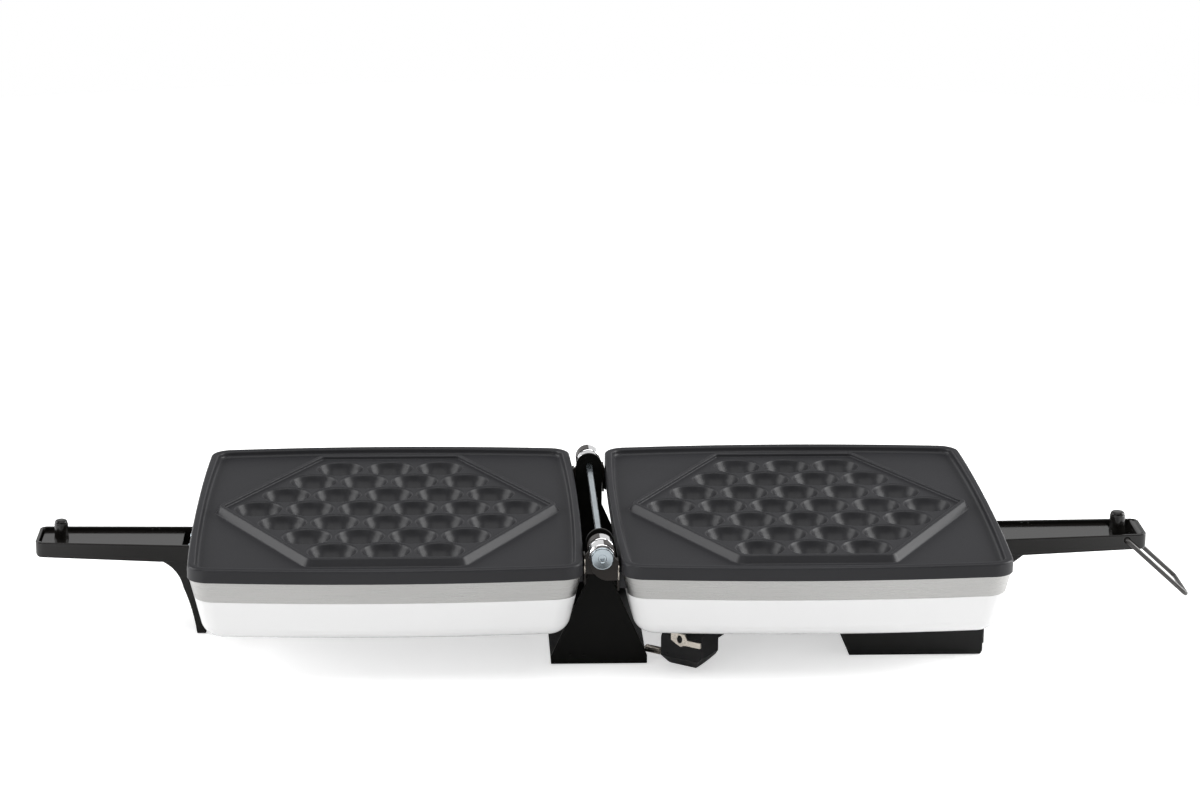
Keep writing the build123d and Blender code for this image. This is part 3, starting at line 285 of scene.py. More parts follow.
def add_ramp(tree, value, start, end, low=0.0, high=1.0, kind="LINEAR"):
    """A value that runs from low to high while another runs from start to end."""
    feeds = {"Value": value, "From Min": start, "From Max": end, "To Min": low, "To Max": high}
    return add_node(tree, "MapRange", feeds, interpolation_type=kind).outputs[0]


def add_noise(tree, **feeds):
    """What a noise texture puts out."""
    feeds = {name.capitalize(): value for name, value in feeds.items()}
    return add_node(tree, "TexNoise", feeds).outputs["Fac"]


def new_group(name, inputs, outputs):
    """A shader node group; an input is given as its first value or as its kind."""
    group = bpy.data.node_groups.new(name, "ShaderNodeTree")
    for label, value in inputs.items():
        kind = value if isinstance(value, str) else "Float"
        socket = group.interface.new_socket(
            label, in_out="INPUT", socket_type="NodeSocket" + kind)
        if kind != value:
            socket.default_value = value
    for label, kind in outputs.items():
        group.interface.new_socket(label, in_out="OUTPUT", socket_type="NodeSocket" + kind)
    start = group.nodes.new("NodeGroupInput")
    end = group.nodes.new("NodeGroupOutput")
    return group, start.outputs, end.inputs


def surface_group(name, sizes):
    """A group that puts out the colour, roughness and relief of a surface."""
    given = {"Vector": "Vector", **sizes, "Colour low": "Color", "Colour high": "Color"}
    given |= {"Rough low": 0.3, "Rough high": 0.4}
    return new_group(name, given, {"Colour": "Color", "Roughness": "Float", "Height": "Float"})


def end_surface(group, given, out, share, gloss, most, height):
    """Colour by a share, roughness by how near the gloss is to its most, and relief."""
    feeds = {0: share, 6: given["Colour low"], 7: given["Colour high"]}
    mixed = add_node(group, "Mix", feeds, data_type="RGBA").outputs[2]
    rough = add_ramp(group, gloss, 0.0, most, given["Rough low"], given["Rough high"])
    for name, source in (("Colour", mixed), ("Roughness", rough), ("Height", height)):
        group.links.new(source, out[name])


def grain_group():
    """Mottled colour, uneven gloss and fine grain of a moulded, cast or coated surface."""
    group, given, out = surface_group("surface_grain", {"Scale": 200.0, "Cloud scale": 14.0})
    cloud = add_noise(group, vector=given["Vector"], scale=given["Cloud scale"], detail=4.0)
    fine = add_noise(group, vector=given["Vector"], scale=given["Scale"], detail=2.0)
    share = add_ramp(group, cloud, 0.3, 0.7)
    gloss = add_math(group, "MULTIPLY_ADD", share, fine, fine)
    end_surface(group, given, out, share, gloss, 1.3, fine)


def brushed_group():
    """Long fine scratches of brushed or drawn metal, one way along the surface."""
    group, given, out = surface_group("brushed_lines", {"Stretch": "Vector"})
    feeds = {0: given["Vector"], 1: given["Stretch"]}
    drawn = add_node(group, "VectorMath", feeds, operation="MULTIPLY").outputs[0]
    lines = add_noise(group, vector=drawn, scale=1.0, detail=5.0, roughness=0.65)
    cloud = add_noise(group, vector=given["Vector"], scale=22.0, detail=3.0)
    share = add_ramp(group, lines, 0.25, 0.75)
    gloss = add_math(group, "MULTIPLY", share, cloud)
    end_surface(group, given, out, share, gloss, 0.6, share)


def slope_group():
    """Mask of the faces that slope: 0 where level, the given value where upright."""
    group, given, out = new_group(
        "slope_mask", {"Normal": "Vector", "Value": 0.5}, {"Mask": "Float"})
    parts = add_node(group, "SeparateXYZ", {"Vector": given["Normal"]})
    level = add_math(group, "ABSOLUTE", parts.outputs["Z"])
    mask = add_ramp(group, level, 0.97, 0.80, 0.0, given["Value"], "SMOOTHSTEP")
    group.links.new(mask, out["Mask"])


def make_finish(slot, colour, rough, spread, metallic=0.0, grain=900.0, cloud=14.0, depth=0.02,
                coat=0.0, coat_rough=0.1, specular=0.5, stretch=None, brushed=0.0,
                slope_coat=0.0):
    """One material: a Principled surface fed by the grain or the brushed group."""
    material = bpy.data.materials.new(slot)
    material.use_nodes = True
    tree = material.node_tree
    place = add_node(tree, "TexCoord").outputs
    low, high = (
        (*(min(1.0, c * (1 + share)) for c in colour), 1.0) for share in (-spread, spread))
    feeds = {
        "Vector": place["Object"], "Colour low": low, "Colour high": high,
        "Rough low": rough[0], "Rough high": rough[1]}
    feeds |= {"Stretch": stretch} if stretch else {"Scale": grain, "Cloud scale": cloud}
    surface = add_group(tree, "brushed_lines" if stretch else "surface_grain", feeds)
    bump = add_node(tree, "Bump", {
        "Strength": 0.35, "Distance": depth * MM, "Height": surface["Height"]})
    if slope_coat:
        feeds = {"Normal": place["Normal"], "Value": slope_coat}
        coat = add_group(tree, "slope_mask", feeds)["Mask"]
    feed(tree.nodes["Principled BSDF"], {
        "Base Color": surface["Colour"], "Roughness": surface["Roughness"],
        "Normal": bump.outputs["Normal"], "Metallic": metallic, "Coat Weight": coat,
        "Coat Roughness": coat_rough, "Specular IOR Level": specular, "Anisotropic": brushed,
        "Anisotropic Rotation": 0.25})
    MATERIALS[slot] = material


# Meshes


def link_new(name, data):
    """A new object in the scene."""
    obj = bpy.data.objects.new(name, data)
    bpy.context.scene.collection.objects.link(obj)
    return obj


def add_piece(name, data, slot, body, nodes=()):
    """Link a piece, give it its finish, and tie it to its body and the nodes it stands for."""
    obj = link_new(name, data)
    obj.data.materials.clear()
    obj.data.materials.append(MATERIALS[slot])
    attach(obj, body)
    if nodes:
        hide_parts(*nodes)
    return obj


def store_smooth(bm, mesh):
    """Put smooth faces into a mesh and free them."""
    for face in bm.faces:
        face.smooth = True
    bm.to_mesh(mesh)
    bm.free()


def add_made(bm, name, slot, body, nodes=(), side=1, even=True):
    """Add a mesh drawn in millimetres for the base half; side -1 mirrors it for the lid."""
    bmesh.ops.scale(bm, vec=(side * MM, MM, MM), verts=bm.verts)
    bmesh.ops.recalc_face_normals(bm, faces=bm.faces)
    mesh = bpy.data.meshes.new(name)
    store_smooth(bm, mesh)
    obj = add_piece(name, mesh, slot, body, nodes)
    return even_normals(obj) if even else obj


def even_normals(obj):
    """Large flat faces keep their own normals beside the rounded edges."""
    flat = obj.modifiers.new("Flat faces", "WEIGHTED_NORMAL")
    flat.mode = "FACE_AREA"
    flat.weight = 60
    return obj


def round_edges(obj, width, segments, limit, arcs=False):
    """Rounded edges where the faces turn by more than a limit."""
    bevel = obj.modifiers.new("Edges", "BEVEL")
    bevel.width = width
    bevel.segments = segments
    bevel.limit_method = "ANGLE"
    bevel.angle_limit = limit
    if arcs:
        bevel.use_clamp_overlap = False
        bevel.miter_outer = "MITER_ARC"
    return even_normals(obj)


def soften(node, slot, body, width, segments=3, limit=28.0, shape=None):
    """A CAD node's own shape with its edges rounded, as a piece that replaces it."""
    mesh = frame["nodes"][node].data.copy()
    bm = bmesh.new()
    bm.from_mesh(mesh)
    bmesh.ops.remove_doubles(bm, verts=bm.verts, dist=2e-6)
    bmesh.ops.dissolve_limit(bm, angle_limit=radians(0.4), verts=bm.verts, edges=bm.edges)
    if shape:
        shape(bm)
    store_smooth(bm, mesh)
    obj = add_piece(f"{node}_piece", mesh, slot, body, [node])
    return round_edges(obj, width, segments, radians(limit), arcs=True)


def straighten(bm, side=1, unit=1.0):
    """Less bow in the two short sides of a half, as in the photograph; the middle stays."""
    for vert in bm.verts:
        u = (side * vert.co.x / unit - HALF_CENTRE) / (HALF_LENGTH / 2)
        v = vert.co.y / unit / (HALF_WIDTH / 2)
        reach = -BOW_LESS[0] if u < 0 else BOW_LESS[1]
        vert.co.x += side * unit * reach * min(1.0, abs(u)) ** 10 * v * v


def cut_away(bm, place, normal, unit=MM):
    """Take off what lies beyond a plane and close the cut."""
    cut = bmesh.ops.bisect_plane(
        bm, geom=[*bm.verts, *bm.edges, *bm.faces], dist=1e-4 * unit,
        plane_co=Vector(place) * unit, plane_no=normal, clear_outer=True)
    edges = [item for item in cut["geom_cut"] if isinstance(item, bmesh.types.BMEdge)]
    bmesh.ops.holes_fill(bm, edges=edges, sides=0)


def round_profile(corners, steps=6):
    """Points of a flat line whose corners (u, v, radius) are rounded."""
    points = []
    for i, (u, v, radius) in enumerate(corners):
        here = Vector((u, v))
        if not radius or i in (0, len(corners) - 1):
            points.append(here)
            continue
        before = (Vector(corners[i - 1][:2]) - here).normalized()
        after = (Vector(corners[i + 1][:2]) - here).normalized()
        half = before.angle(after) / 2
        middle = here + (before + after).normalized() * (radius / sin(half))
        first = here + before * (radius / tan(half)) - middle
        turn = first.angle_signed(here + after * (radius / tan(half)) - middle)
        for k in range(steps + 1):
            points.append(middle + Matrix.Rotation(-turn * k / steps, 2) @ first)
    return points


def spokes(count):
    """Directions evenly round a circle."""
    return [(cos(2 * pi * k / count), sin(2 * pi * k / count)) for k in range(count)]


def arc(middle, radius, start, end, steps):
    """Points on an arc in a plane, with both of its ends."""
    angles = [start + (end - start) * k / steps for k in range(steps + 1)]
    return [middle + radius * Vector((cos(angle), sin(angle))) for angle in angles]


def pairs(ring):
    """Neighbours all the way round a ring."""
    return zip(ring, [*ring[1:], ring[0]])


def bridge(bm, first, second):
    """Faces between two rings with as many points."""
    for (a, b), (c, d) in zip(pairs(first), pairs(second)):
        bm.faces.new((a, b, d, c))


def fan(bm, pole, ring):
    """Faces from one point to a ring."""
    for a, b in pairs(ring):
        bm.faces.new((pole, a, b))


def stack(bm, rings):
    """Skin through rings of points; the rings of vertices come back."""
    made = [[bm.verts.new(point) for point in points] for points in rings]
    for first, second in zip(made, made[1:]):
        bridge(bm, first, second)
    return made


def fill_flat(bm, *loops):
    """Triangles between closed loops that lie in one level plane."""
    edges = []
    for loop in loops:
        edges += [bm.edges.get(pair) or bm.edges.new(pair) for pair in pairs(loop)]
    bmesh.ops.triangle_fill(bm, use_beauty=True, edges=edges, normal=UP)


def lathe(bm, profile, origin, axis, around=48, closed=False):
    """Turned skin: profile of (radius, distance along the axis) from the origin."""
    turn = Vector(axis).to_track_quat("Z", "Y").to_matrix()
    rings = []
    for radius, along in profile:
        spots = [(radius * c, radius * s, along) for c, s in spokes(around)]
        if radius < 1e-6:
            spots = [(0, 0, along)]
        rings.append([bm.verts.new(Vector(origin) + turn @ Vector(spot)) for spot in spots])
    for first, second in pairs(rings) if closed else zip(rings, rings[1:]):
        if len(first) == 1:
            fan(bm, first[0], second)
        elif len(second) == 1:
            fan(bm, second[0], first)
        else:
            bridge(bm, first, second)


def add_box(bm, low, high, rounding=0.6):
    """A box between two corners, with rounded edges."""
    low, high = Vector(low), Vector(high)
    fit = Matrix.LocRotScale((low + high) / 2, None, high - low)
    verts = bmesh.ops.create_cube(bm, size=1.0, matrix=fit)["verts"]
    edges = list({edge for vert in verts for edge in vert.link_edges})
    bmesh.ops.bevel(bm, geom=edges, offset=rounding, segments=2, affect="EDGES")


# Plates


def casing_ring(inset, radius, level, along_side=22, round_corner=12):
    """Outline of a half at a level: four bowed sides and four round corners, from +X round."""
    mid_x = HALF_LENGTH / 2 - inset
    mid_y = HALF_WIDTH / 2 - inset
    reach_x = ((mid_y - BOW_Y) ** 2 + BOW_X**2) / (2 * BOW_X)
    reach_y = ((mid_x - BOW_X) ** 2 + BOW_Y**2) / (2 * BOW_Y)
    side_x = Vector((mid_x - reach_x, 0))
    side_y = Vector((0, mid_y - reach_y))
    # the corner's centre lies where the two sides, drawn in by its radius, cross
    near, far = reach_x - radius, reach_y - radius
    gap = side_y - side_x
    along = (near**2 - far**2 + gap.length_squared) / (2 * gap.length)
    off = sqrt(near**2 - along**2)
    unit = gap.normalized()
    middle = side_x + unit * along + Vector((-unit.y, unit.x)) * off
    start = atan2(*(middle - side_x).yx)
    end = atan2(*(middle - side_y).yx)
    corner = arc(middle, radius, start, end, round_corner)
    top = arc(side_y, reach_y, end, pi - end, along_side)[1:-1]
    left = arc(-side_x, reach_x, pi - start, pi + start, along_side)[1:-1]
    half = corner + top + [Vector((-p.x, p.y)) for p in reversed(corner)] + left
    return [Vector((HALF_CENTRE + s * p.x, s * p.y, level)) for s in (1, -1) for p in half]


def hexagon_ring(growth, level, bend=HEXAGON_CORNER, round_corner=10):
    """Outline of the field of cups, grown from the middle line of its ridge."""
    tip, flat, half = HEXAGON
    corners = [(tip, 0), (half, flat), (-half, flat), (-tip, 0), (-half, -flat), (half, -flat)]
    corners = [Vector(corner) for corner in corners]
    ring = []
    for i, corner in enumerate(corners):
        before = (corner - corners[i - 1]).normalized()
        after = (corners[(i + 1) % 6] - corner).normalized()
        out_before = Vector((before.y, -before.x))
        out_after = Vector((after.y, -after.x))
        middle = corner - (out_before + out_after) * (bend / (1 + out_before.dot(out_after)))
        start = atan2(out_before.y, out_before.x)
        turn = acos(out_before.dot(out_after))
        ring += arc(middle, bend + growth, start, start + turn, round_corner)
    return [Vector((HALF_CENTRE + spot.x, spot.y, level)) for spot in ring]


def cup_places():
    """The centres of the cups of one plate."""
    places = []
    for row, count in enumerate(CUP_ROWS):
        y = (row - (len(CUP_ROWS) - 1) / 2) * CUP_PITCH * sqrt(3) / 2
        places += [(HALF_CENTRE + (k - (count - 1) / 2) * CUP_PITCH, y) for k in range(count)]
    return places


def cup_profile(lip):
    """From the land over the rounded lip and down the sphere to its bottom: radius, level."""
    ball = (CUP_RADIUS**2 + CUP_DEPTH**2) / (2 * CUP_DEPTH)
    rise = ball - CUP_DEPTH
    edge = sqrt((ball + lip) ** 2 - (rise + lip) ** 2)
    over = arc(Vector((edge, LAND - lip)), lip, pi / 2, atan2(rise + lip, -edge), 6)
    reach = atan2(over[-1].x, LAND + rise - over[-1].y)
    down = arc(Vector((0, LAND + rise)), ball, reach - pi / 2, -pi / 2, 11)
    return [(edge + 0.05, LAND), *over, *down[1:]]


class WAFFLE_OT_plates(bpy.types.Operator):
    """Cast cooking plates with their rims, ridges and rounded cups"""

    bl_idname = "waffle.plates"
    bl_label = "Cooking plates"

    def execute(self, context):
        values = context.scene.waffle_plates
        edge, tray = values.edge / MM, values.tray / MM
        rim = round_profile([
            (12.0, RIM_BOTTOM, 0), (0.0, RIM_BOTTOM, 0.5), (0.0, RIM_TOP, edge),
            (RIM_WIDTH, RIM_TOP, edge), (RIM_WIDTH, TRAY, tray), (RIM_WIDTH + tray + 0.4, TRAY, 0),
        ])
        foot = RIDGE_HALF + RIDGE_SLOPE
        ridge = round_profile([
            (foot + 1.6, TRAY, 0), (foot, TRAY, 1.6), (RIDGE_HALF, RIDGE_TOP, 1.1),
            (-RIDGE_HALF, RIDGE_TOP, 0.7), (-RIDGE_HALF, LAND, 0.8), (-RIDGE_HALF - 1.1, LAND, 0),
        ])
        boss = [(0, 0), (4.6, 0), (5.0, 0.4), (5.0, 21.0), (0, 21.0)]
        cup = cup_profile(values.lip / MM)
        for half, side in HALVES:
            bm = bmesh.new()
            rings = stack(bm, [casing_ring(u, max(CORNER - u, 4.0), z) for u, z in rim])
            field = stack(bm, [hexagon_ring(u, z) for u, z in ridge])
            fill_flat(bm, rings[-1], field[0])
            cups = [self.cup(bm, x, y, cup, values.around) for x, y in cup_places()]
            fill_flat(bm, field[-1], *cups)
            block = stack(bm, [
                hexagon_ring(-BLOCK_SETBACK, z, BLOCK_CORNER) for z in (RIM_BOTTOM, BLOCK_BOTTOM)])
            fill_flat(bm, rings[0], block[0])
            bm.faces.new(block[1])
            for start in ARM_STARTS[half]:
                add_box(bm, (11.8, start + 3.0, BAND_BOTTOM + 2.0), (24.0, start + 17.0, 71.2))
            for x, y in PILLARS:
                lathe(bm, boss, (x, y, PILLAR_BOTTOM), UP, 24)
            straighten(bm)
            name = f"{half}_plate_cast"
            add_made(bm, name, "nonstick_cast", half, [f"{half}_plate"], side)
        return {"FINISHED"}

    def cup(self, bm, x, y, profile, around):
        """One cup; its outer loop comes back for the land round it."""
        *sides, (_, bottom) = profile
        rings = stack(
            bm, [[(x + r * c, y + r * s, z) for c, s in spokes(around)] for r, z in sides])
        fan(bm, bm.verts.new((x, y, bottom)), rings[-1])
        return rings[0]


# Casings, handles, hinge and stand


class WAFFLE_OT_casings(bpy.types.Operator):
    """Brushed bands and white shells of the two halves"""

    bl_idname = "waffle.casings"
    bl_label = "Casings"

    def execute(self, context):
        values = context.scene.waffle_edges
        for half, side in HALVES:
            def shape(bm, side=side):
                straighten(bm, side, MM)

            soften(f"{half}_band", "brushed_band", half, values.thin, 2, shape=shape)
            soften(f"{half}_shell", "white_shell", half, values.sheet, 2, 32.0, shape)
        return {"FINISHED"}


def rim_level(x):
    """Level of a handle's rim at a distance from the hinge."""
    return RIM_ROOT[1] + (x - RIM_ROOT[0]) * RIM_RISE


def trough_half(x):
    """Half the width inside a handle's trough at a distance from the hinge."""
    return SIDE_ROOT[1] - (x - SIDE_ROOT[0]) * SIDE_TAPER - TROUGH_WALL


class WAFFLE_OT_handles(bpy.types.Operator):
    """Trough handles, the posts that stand in them and their raised floors"""

    bl_idname = "waffle.handles"
    bl_label = "Handles"

    def execute(self, context):
        values = context.scene.waffle_edges
        for half, _ in HALVES:
            soften(f"{half}_handle", "black_gloss", half, values.moulded)
            low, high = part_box(f"{half}_post")
            radius = (high[0] - low[0]) / 2 / MM
            foot, top = low[2] / MM, high[2] / MM
            profile = round_profile([
                (0, foot, 0), (radius - 0.4, foot, 0), (radius, 57.5, 1.0),
                (radius - 0.5, 62.0, 6.0), (radius - 0.5, top - 2.6, 0.1),
                (radius - 0.8, top - 2.3, 0.1), (radius - 0.8, top, 1.8), (0, top, 0),
            ], 5)
            bm = bmesh.new()
            lathe(bm, profile, ((low[0] + high[0]) / 2 / MM, 0, 0), UP, 56)
            add_made(bm, f"{half}_post_turned", "black_gloss", half, [f"{half}_post"])
        for half, side in HALVES:
            bm = bmesh.new()
            self.floor(bm, TROUGH_START, TROUGH_ENDS[half])
            for x in TROUGH_RIBS:
                for front in (-1, 1):
                    ends = sorted((front * trough_half(x), front * (trough_half(x) - 0.7)))
                    low = (x - 0.45, ends[0], rim_level(x) - 2.8)
                    high = (x + 0.45, ends[1], rim_level(x) - 0.5)
                    add_box(bm, low, high, 0.2)
            add_made(bm, f"{half}_trough_floor", "black_gloss", half, side=side)
        return {"FINISHED"}

    def floor(self, bm, start, end):
        """Raised floor of a trough, a little below its rim and with rounded edges."""
        corners = [
            (x, front * trough_half(x), 2.6)
            for x, front in ((start, -1), (end, -1), (end, 1), (start, 1))]
        middle = Vector(((start + end) / 2, 0))
        outline = round_profile([*corners, corners[0], corners[1]], 5)[1:-1]
        rings = []
        for depth, inset in ((5.7, 0.0), (0.3, 0.0), (0.08, 0.08), (0.0, 0.3)):
            spots = [spot + (middle - spot).normalized() * inset for spot in outline]
            rings.append([(p.x, p.y, rim_level(p.x) - TROUGH_DROP - depth) for p in spots])
        made = stack(bm, rings)
        bm.faces.new(made[0])
        bm.faces.new(made[-1])


class WAFFLE_OT_hinge(bpy.types.Operator):
    """Hinge pin with its retainer, the chrome knuckles, the spacer and the arms"""

    bl_idname = "waffle.hinge"
    bl_label = "Hinge"

    def execute(self, context):
        sheet = context.scene.waffle_edges.sheet
        for half, side in HALVES:
            def shape(bm, side=side):
                cut_away(bm, (0, 0, ARM_BOTTOM), DOWN)
                cut_away(bm, (side * ARM_REACH, 0, 0), (side, 0, 0))
                cut_away(bm, (side * ARM_REACH, 0, 77.0), (side * 0.8, 0, 0.6))

            for end in ("front", "rear"):
                soften(f"{half}_arm_{end}", "arm_sheet", half, sheet, shape=shape)
            bm = bmesh.new()
            front = ARM_STARTS[half][0]
            add_box(bm, (9.65, front - 0.2, 66.3), (10.55, front + 0.3, 75.6), 0.12)
            add_made(bm, f"{half}_arm_edge", "nickel", half, side=side, even=False)
        for node, (start, end, *angles) in BARRELS.items():
            length = end - start
            profile = round_profile([
                (5.0, 0, 0), (BARREL_RADIUS, 0, 1.5), (BARREL_RADIUS, length, 0.8),
                (BARREL_BORE, length, 0.2), (BARREL_BORE, 0, 0.2), (5.0, 0, 0),
            ], 4)[:-1]
            half = node.split("_")[0]
            bm = bmesh.new()
            lathe(bm, profile, (0, start, HINGE_HEIGHT), REARWARD, 72, closed=True)
            add_made(bm, f"{node}_barrel", "chrome_knuckle", half, [node])
            # the dark sheet round each barrel is a painted reflection, standing for dark bands on
            # the chrome
            self.leaf(node.replace("knuckle", "leaf"), half, start, end, *angles)
        profile = round_profile([
            (0, 1.75, 0), (1.0, 1.7, 0.1), (1.25, 0.75, 0.1), (2.4, 0.7, 0.1), (2.7, 0.42, 0.1),
            (6.3, 0.0, 0.3), (7.0, 0.45, 0.3), (7.0, 2.0, 0.2), (PIN_RADIUS, 2.0, 0.1),
            (PIN_RADIUS, PIN_LENGTH, 0.4), (0, PIN_LENGTH, 0),
        ], 5)
        bm = bmesh.new()
        lathe(bm, profile, (0, PIN_START, HINGE_HEIGHT), REARWARD, 72)
        add_made(bm, "hinge_pin_turned", "zinc_steel", "stand", ["hinge_pin"])
        soften("hinge_pin_nut", "zinc_steel", "stand", sheet)
        soften("hinge_spacer", "black_sheet", "stand", sheet)
        return {"FINISHED"}

    def leaf(self, name, half, start, end, first, last):
        """Dark sheet in the arm's finish, rolled part of the way round its chrome barrel: a
        painted reflection of the dark bands that the chrome shows.
        """
        inner, edge, outer = BARREL_RADIUS - 0.1, BARREL_RADIUS + 0.15, BARREL_RADIUS + 0.25
        section = [(inner, start + 0.5), (edge, start + 0.5), (outer, start + 0.65)]
        section += [(outer, end - 0.65), (edge, end - 0.5), (inner, end - 0.5)]
        rows = []
        for k in range(25):
            angle = radians(first + (last - first) * k / 24)
            rows.append([
                (radius * sin(angle), y, HINGE_HEIGHT + radius * cos(angle))
                for radius, y in section])
        bm = bmesh.new()
        made = stack(bm, rows)
        bm.faces.new(made[0])
        bm.faces.new(made[-1])
        add_made(bm, name, "arm_sheet", half)


class WAFFLE_OT_stand(bpy.types.Operator):
    """Folded sheet stand with the dots of two spot welds"""

    bl_idname = "waffle.stand"
    bl_label = "Stand"

    def execute(self, context):
        soften("stand_frame", "black_sheet", "stand", context.scene.waffle_edges.sheet)
        dot = [(0, 0.25), (0.5, 0.2), (0.9, 0.05), (0.95, -0.3), (0, -0.3)]
        bm = bmesh.new()
        for x, z in ((-18.4, 7.4), (-10.1, 7.1)):
            lathe(bm, dot, (x, -81.0, z), FORWARD, 20)
        add_made(bm, "weld_dots", "black_sheet", "stand", even=False)
        return {"FINISHED"}


class WAFFLE_OT_latch(bpy.types.Operator):
    """Bent wire bail of the latch"""

    bl_idname = "waffle.latch"
    bl_label = "Latch"

    def execute(self, context):
        soften("latch_bail", "dark_wire", "bail", 0.3 * MM, 2, 50.0)
        return {"FINISHED"}


class WAFFLE_OT_control_box(bpy.types.Operator):
    """Control box with its switch"""

    bl_idname = "waffle.control_box"
    bl_label = "Control box"

    def execute(self, context):
        values = context.scene.waffle_edges
        soften("control_box", "box_plastic", "base", values.moulded)
        soften("switch_housing", "switch_black", "base", values.sheet)
        soften("switch_rocker", "switch_green", "rocker", values.sheet)
        return {"FINISHED"}


# Screws


def recess(x, y):
    """Depth of the cross recess at a place on a screw's head, as a share of the whole."""
    arms = [
        min(1.0, max(0.0, (0.5 - abs(a)) / 0.25)) * min(1.0, max(0.0, (1.9 - abs(b)) / 0.3))
        for a, b in ((x, y), (y, x))]
    return max(arms)


def add_screw(bm, seat, out, length, head=3.2, height=2.0, shank=1.5):
    """Pan-head screw with a cross recess; seat is the point under its head."""
    turn = Vector(out).to_track_quat("Z", "Y").to_matrix()
    around, steps = spokes(40), 14
    crown = height * 0.62
    rings = []
    for k in range(steps):
        radius = head * k / steps
        dome = crown + (height - crown) * sqrt(1 - (k / steps) ** 2)
        spots = [(radius * c, radius * s) for c, s in around] if k else [(0.0, 0.0)]
        rings.append([(x, y, dome - 1.1 * recess(x, y)) for x, y in spots])
    for radius, along in (
        (head, crown * 0.8), (head, 0.0), (shank, 0.0), (shank, 0.6 - length),
        (shank - 0.5, -length),
    ):
        rings.append([(radius * c, radius * s, along) for c, s in around])
    (pole,), *made = [
        [bm.verts.new(Vector(seat) + turn @ Vector(spot)) for spot in ring] for ring in rings]
    fan(bm, pole, made[0])
    for first, second in zip(made, made[1:]):
        bridge(bm, first, second)
    bm.faces.new(made[-1])


class WAFFLE_OT_screws(bpy.types.Operator):
    """Pan-head screws of the hinge arms, handles, shells and control box"""

    bl_idname = "waffle.screws"
    bl_label = "Screws"

    def execute(self, context):
        pillars = [(x, y, SHELL_SCREW_LEVEL) for x, y in PILLARS]
        posts = [(x, y, BOX_SCREW_LEVEL) for x in (166.0, 222.0) for y in (-60.0, 60.0)]
        for half, side in HALVES:
            arms = [(9.3, start + 10.0, z) for start in ARM_STARTS[half] for z in (62.7, 67.9)]
            for kind, seats, out, length, slot in (
                ("hinge", arms, INWARD, 9.0, "black_sheet"),
                ("handle", HANDLE_SCREWS, OUTWARD, 17.7, "zinc_steel"),
                ("shell", pillars, DOWN, 28.5, "zinc_steel"),
            ):
                self.make(f"{half}_{kind}_screws", seats, out, length, half, side, slot)
        self.make("box_screws", posts, DOWN, 27.2, "base", 1, "zinc_steel")
        return {"FINISHED"}

    def make(self, node, seats, out, length, body, side, slot):
        """The screws of one node."""
        bm = bmesh.new()
        for seat in seats:
            add_screw(bm, seat, out, length)
        add_made(bm, f"{node}_cross", slot, body, [node], side, even=False)


# Cord, strain relief and plug


def coil_route():
    """Half turns that spiral in, climb and spiral out again; only half of the last is run."""
    inward = [42.5 - 5.1 * k for k in range(4)]
    radii = 2 * (inward + [40.0, 43.0]) + [46.0]
    levels = [CORD_RADIUS + 7.5 * k for k in (0, 0, 0, 1, 1, 1, 2, 2, 2, 3, 3, 3, 3)]
    ends = [
        Vector((COIL_X, COIL_Y + (radius if i % 2 else -radius), level))
        for i, (radius, level) in enumerate(zip(radii, levels))]
    points = []
    for i, (start, end) in enumerate(zip(ends, ends[1:])):
        middle, arm = (start + end) / 2, (start - end) / 2
        bulge = arm.length if i % 2 else -arm.length
        whole = [pi * k / 9 for k in range(9)]
        for angle in whole if i < len(ends) - 2 else [pi * k / 10 for k in range(6)]:
            points.append(middle + arm * cos(angle) + Vector((bulge * sin(angle), 0, 0)))
    return points


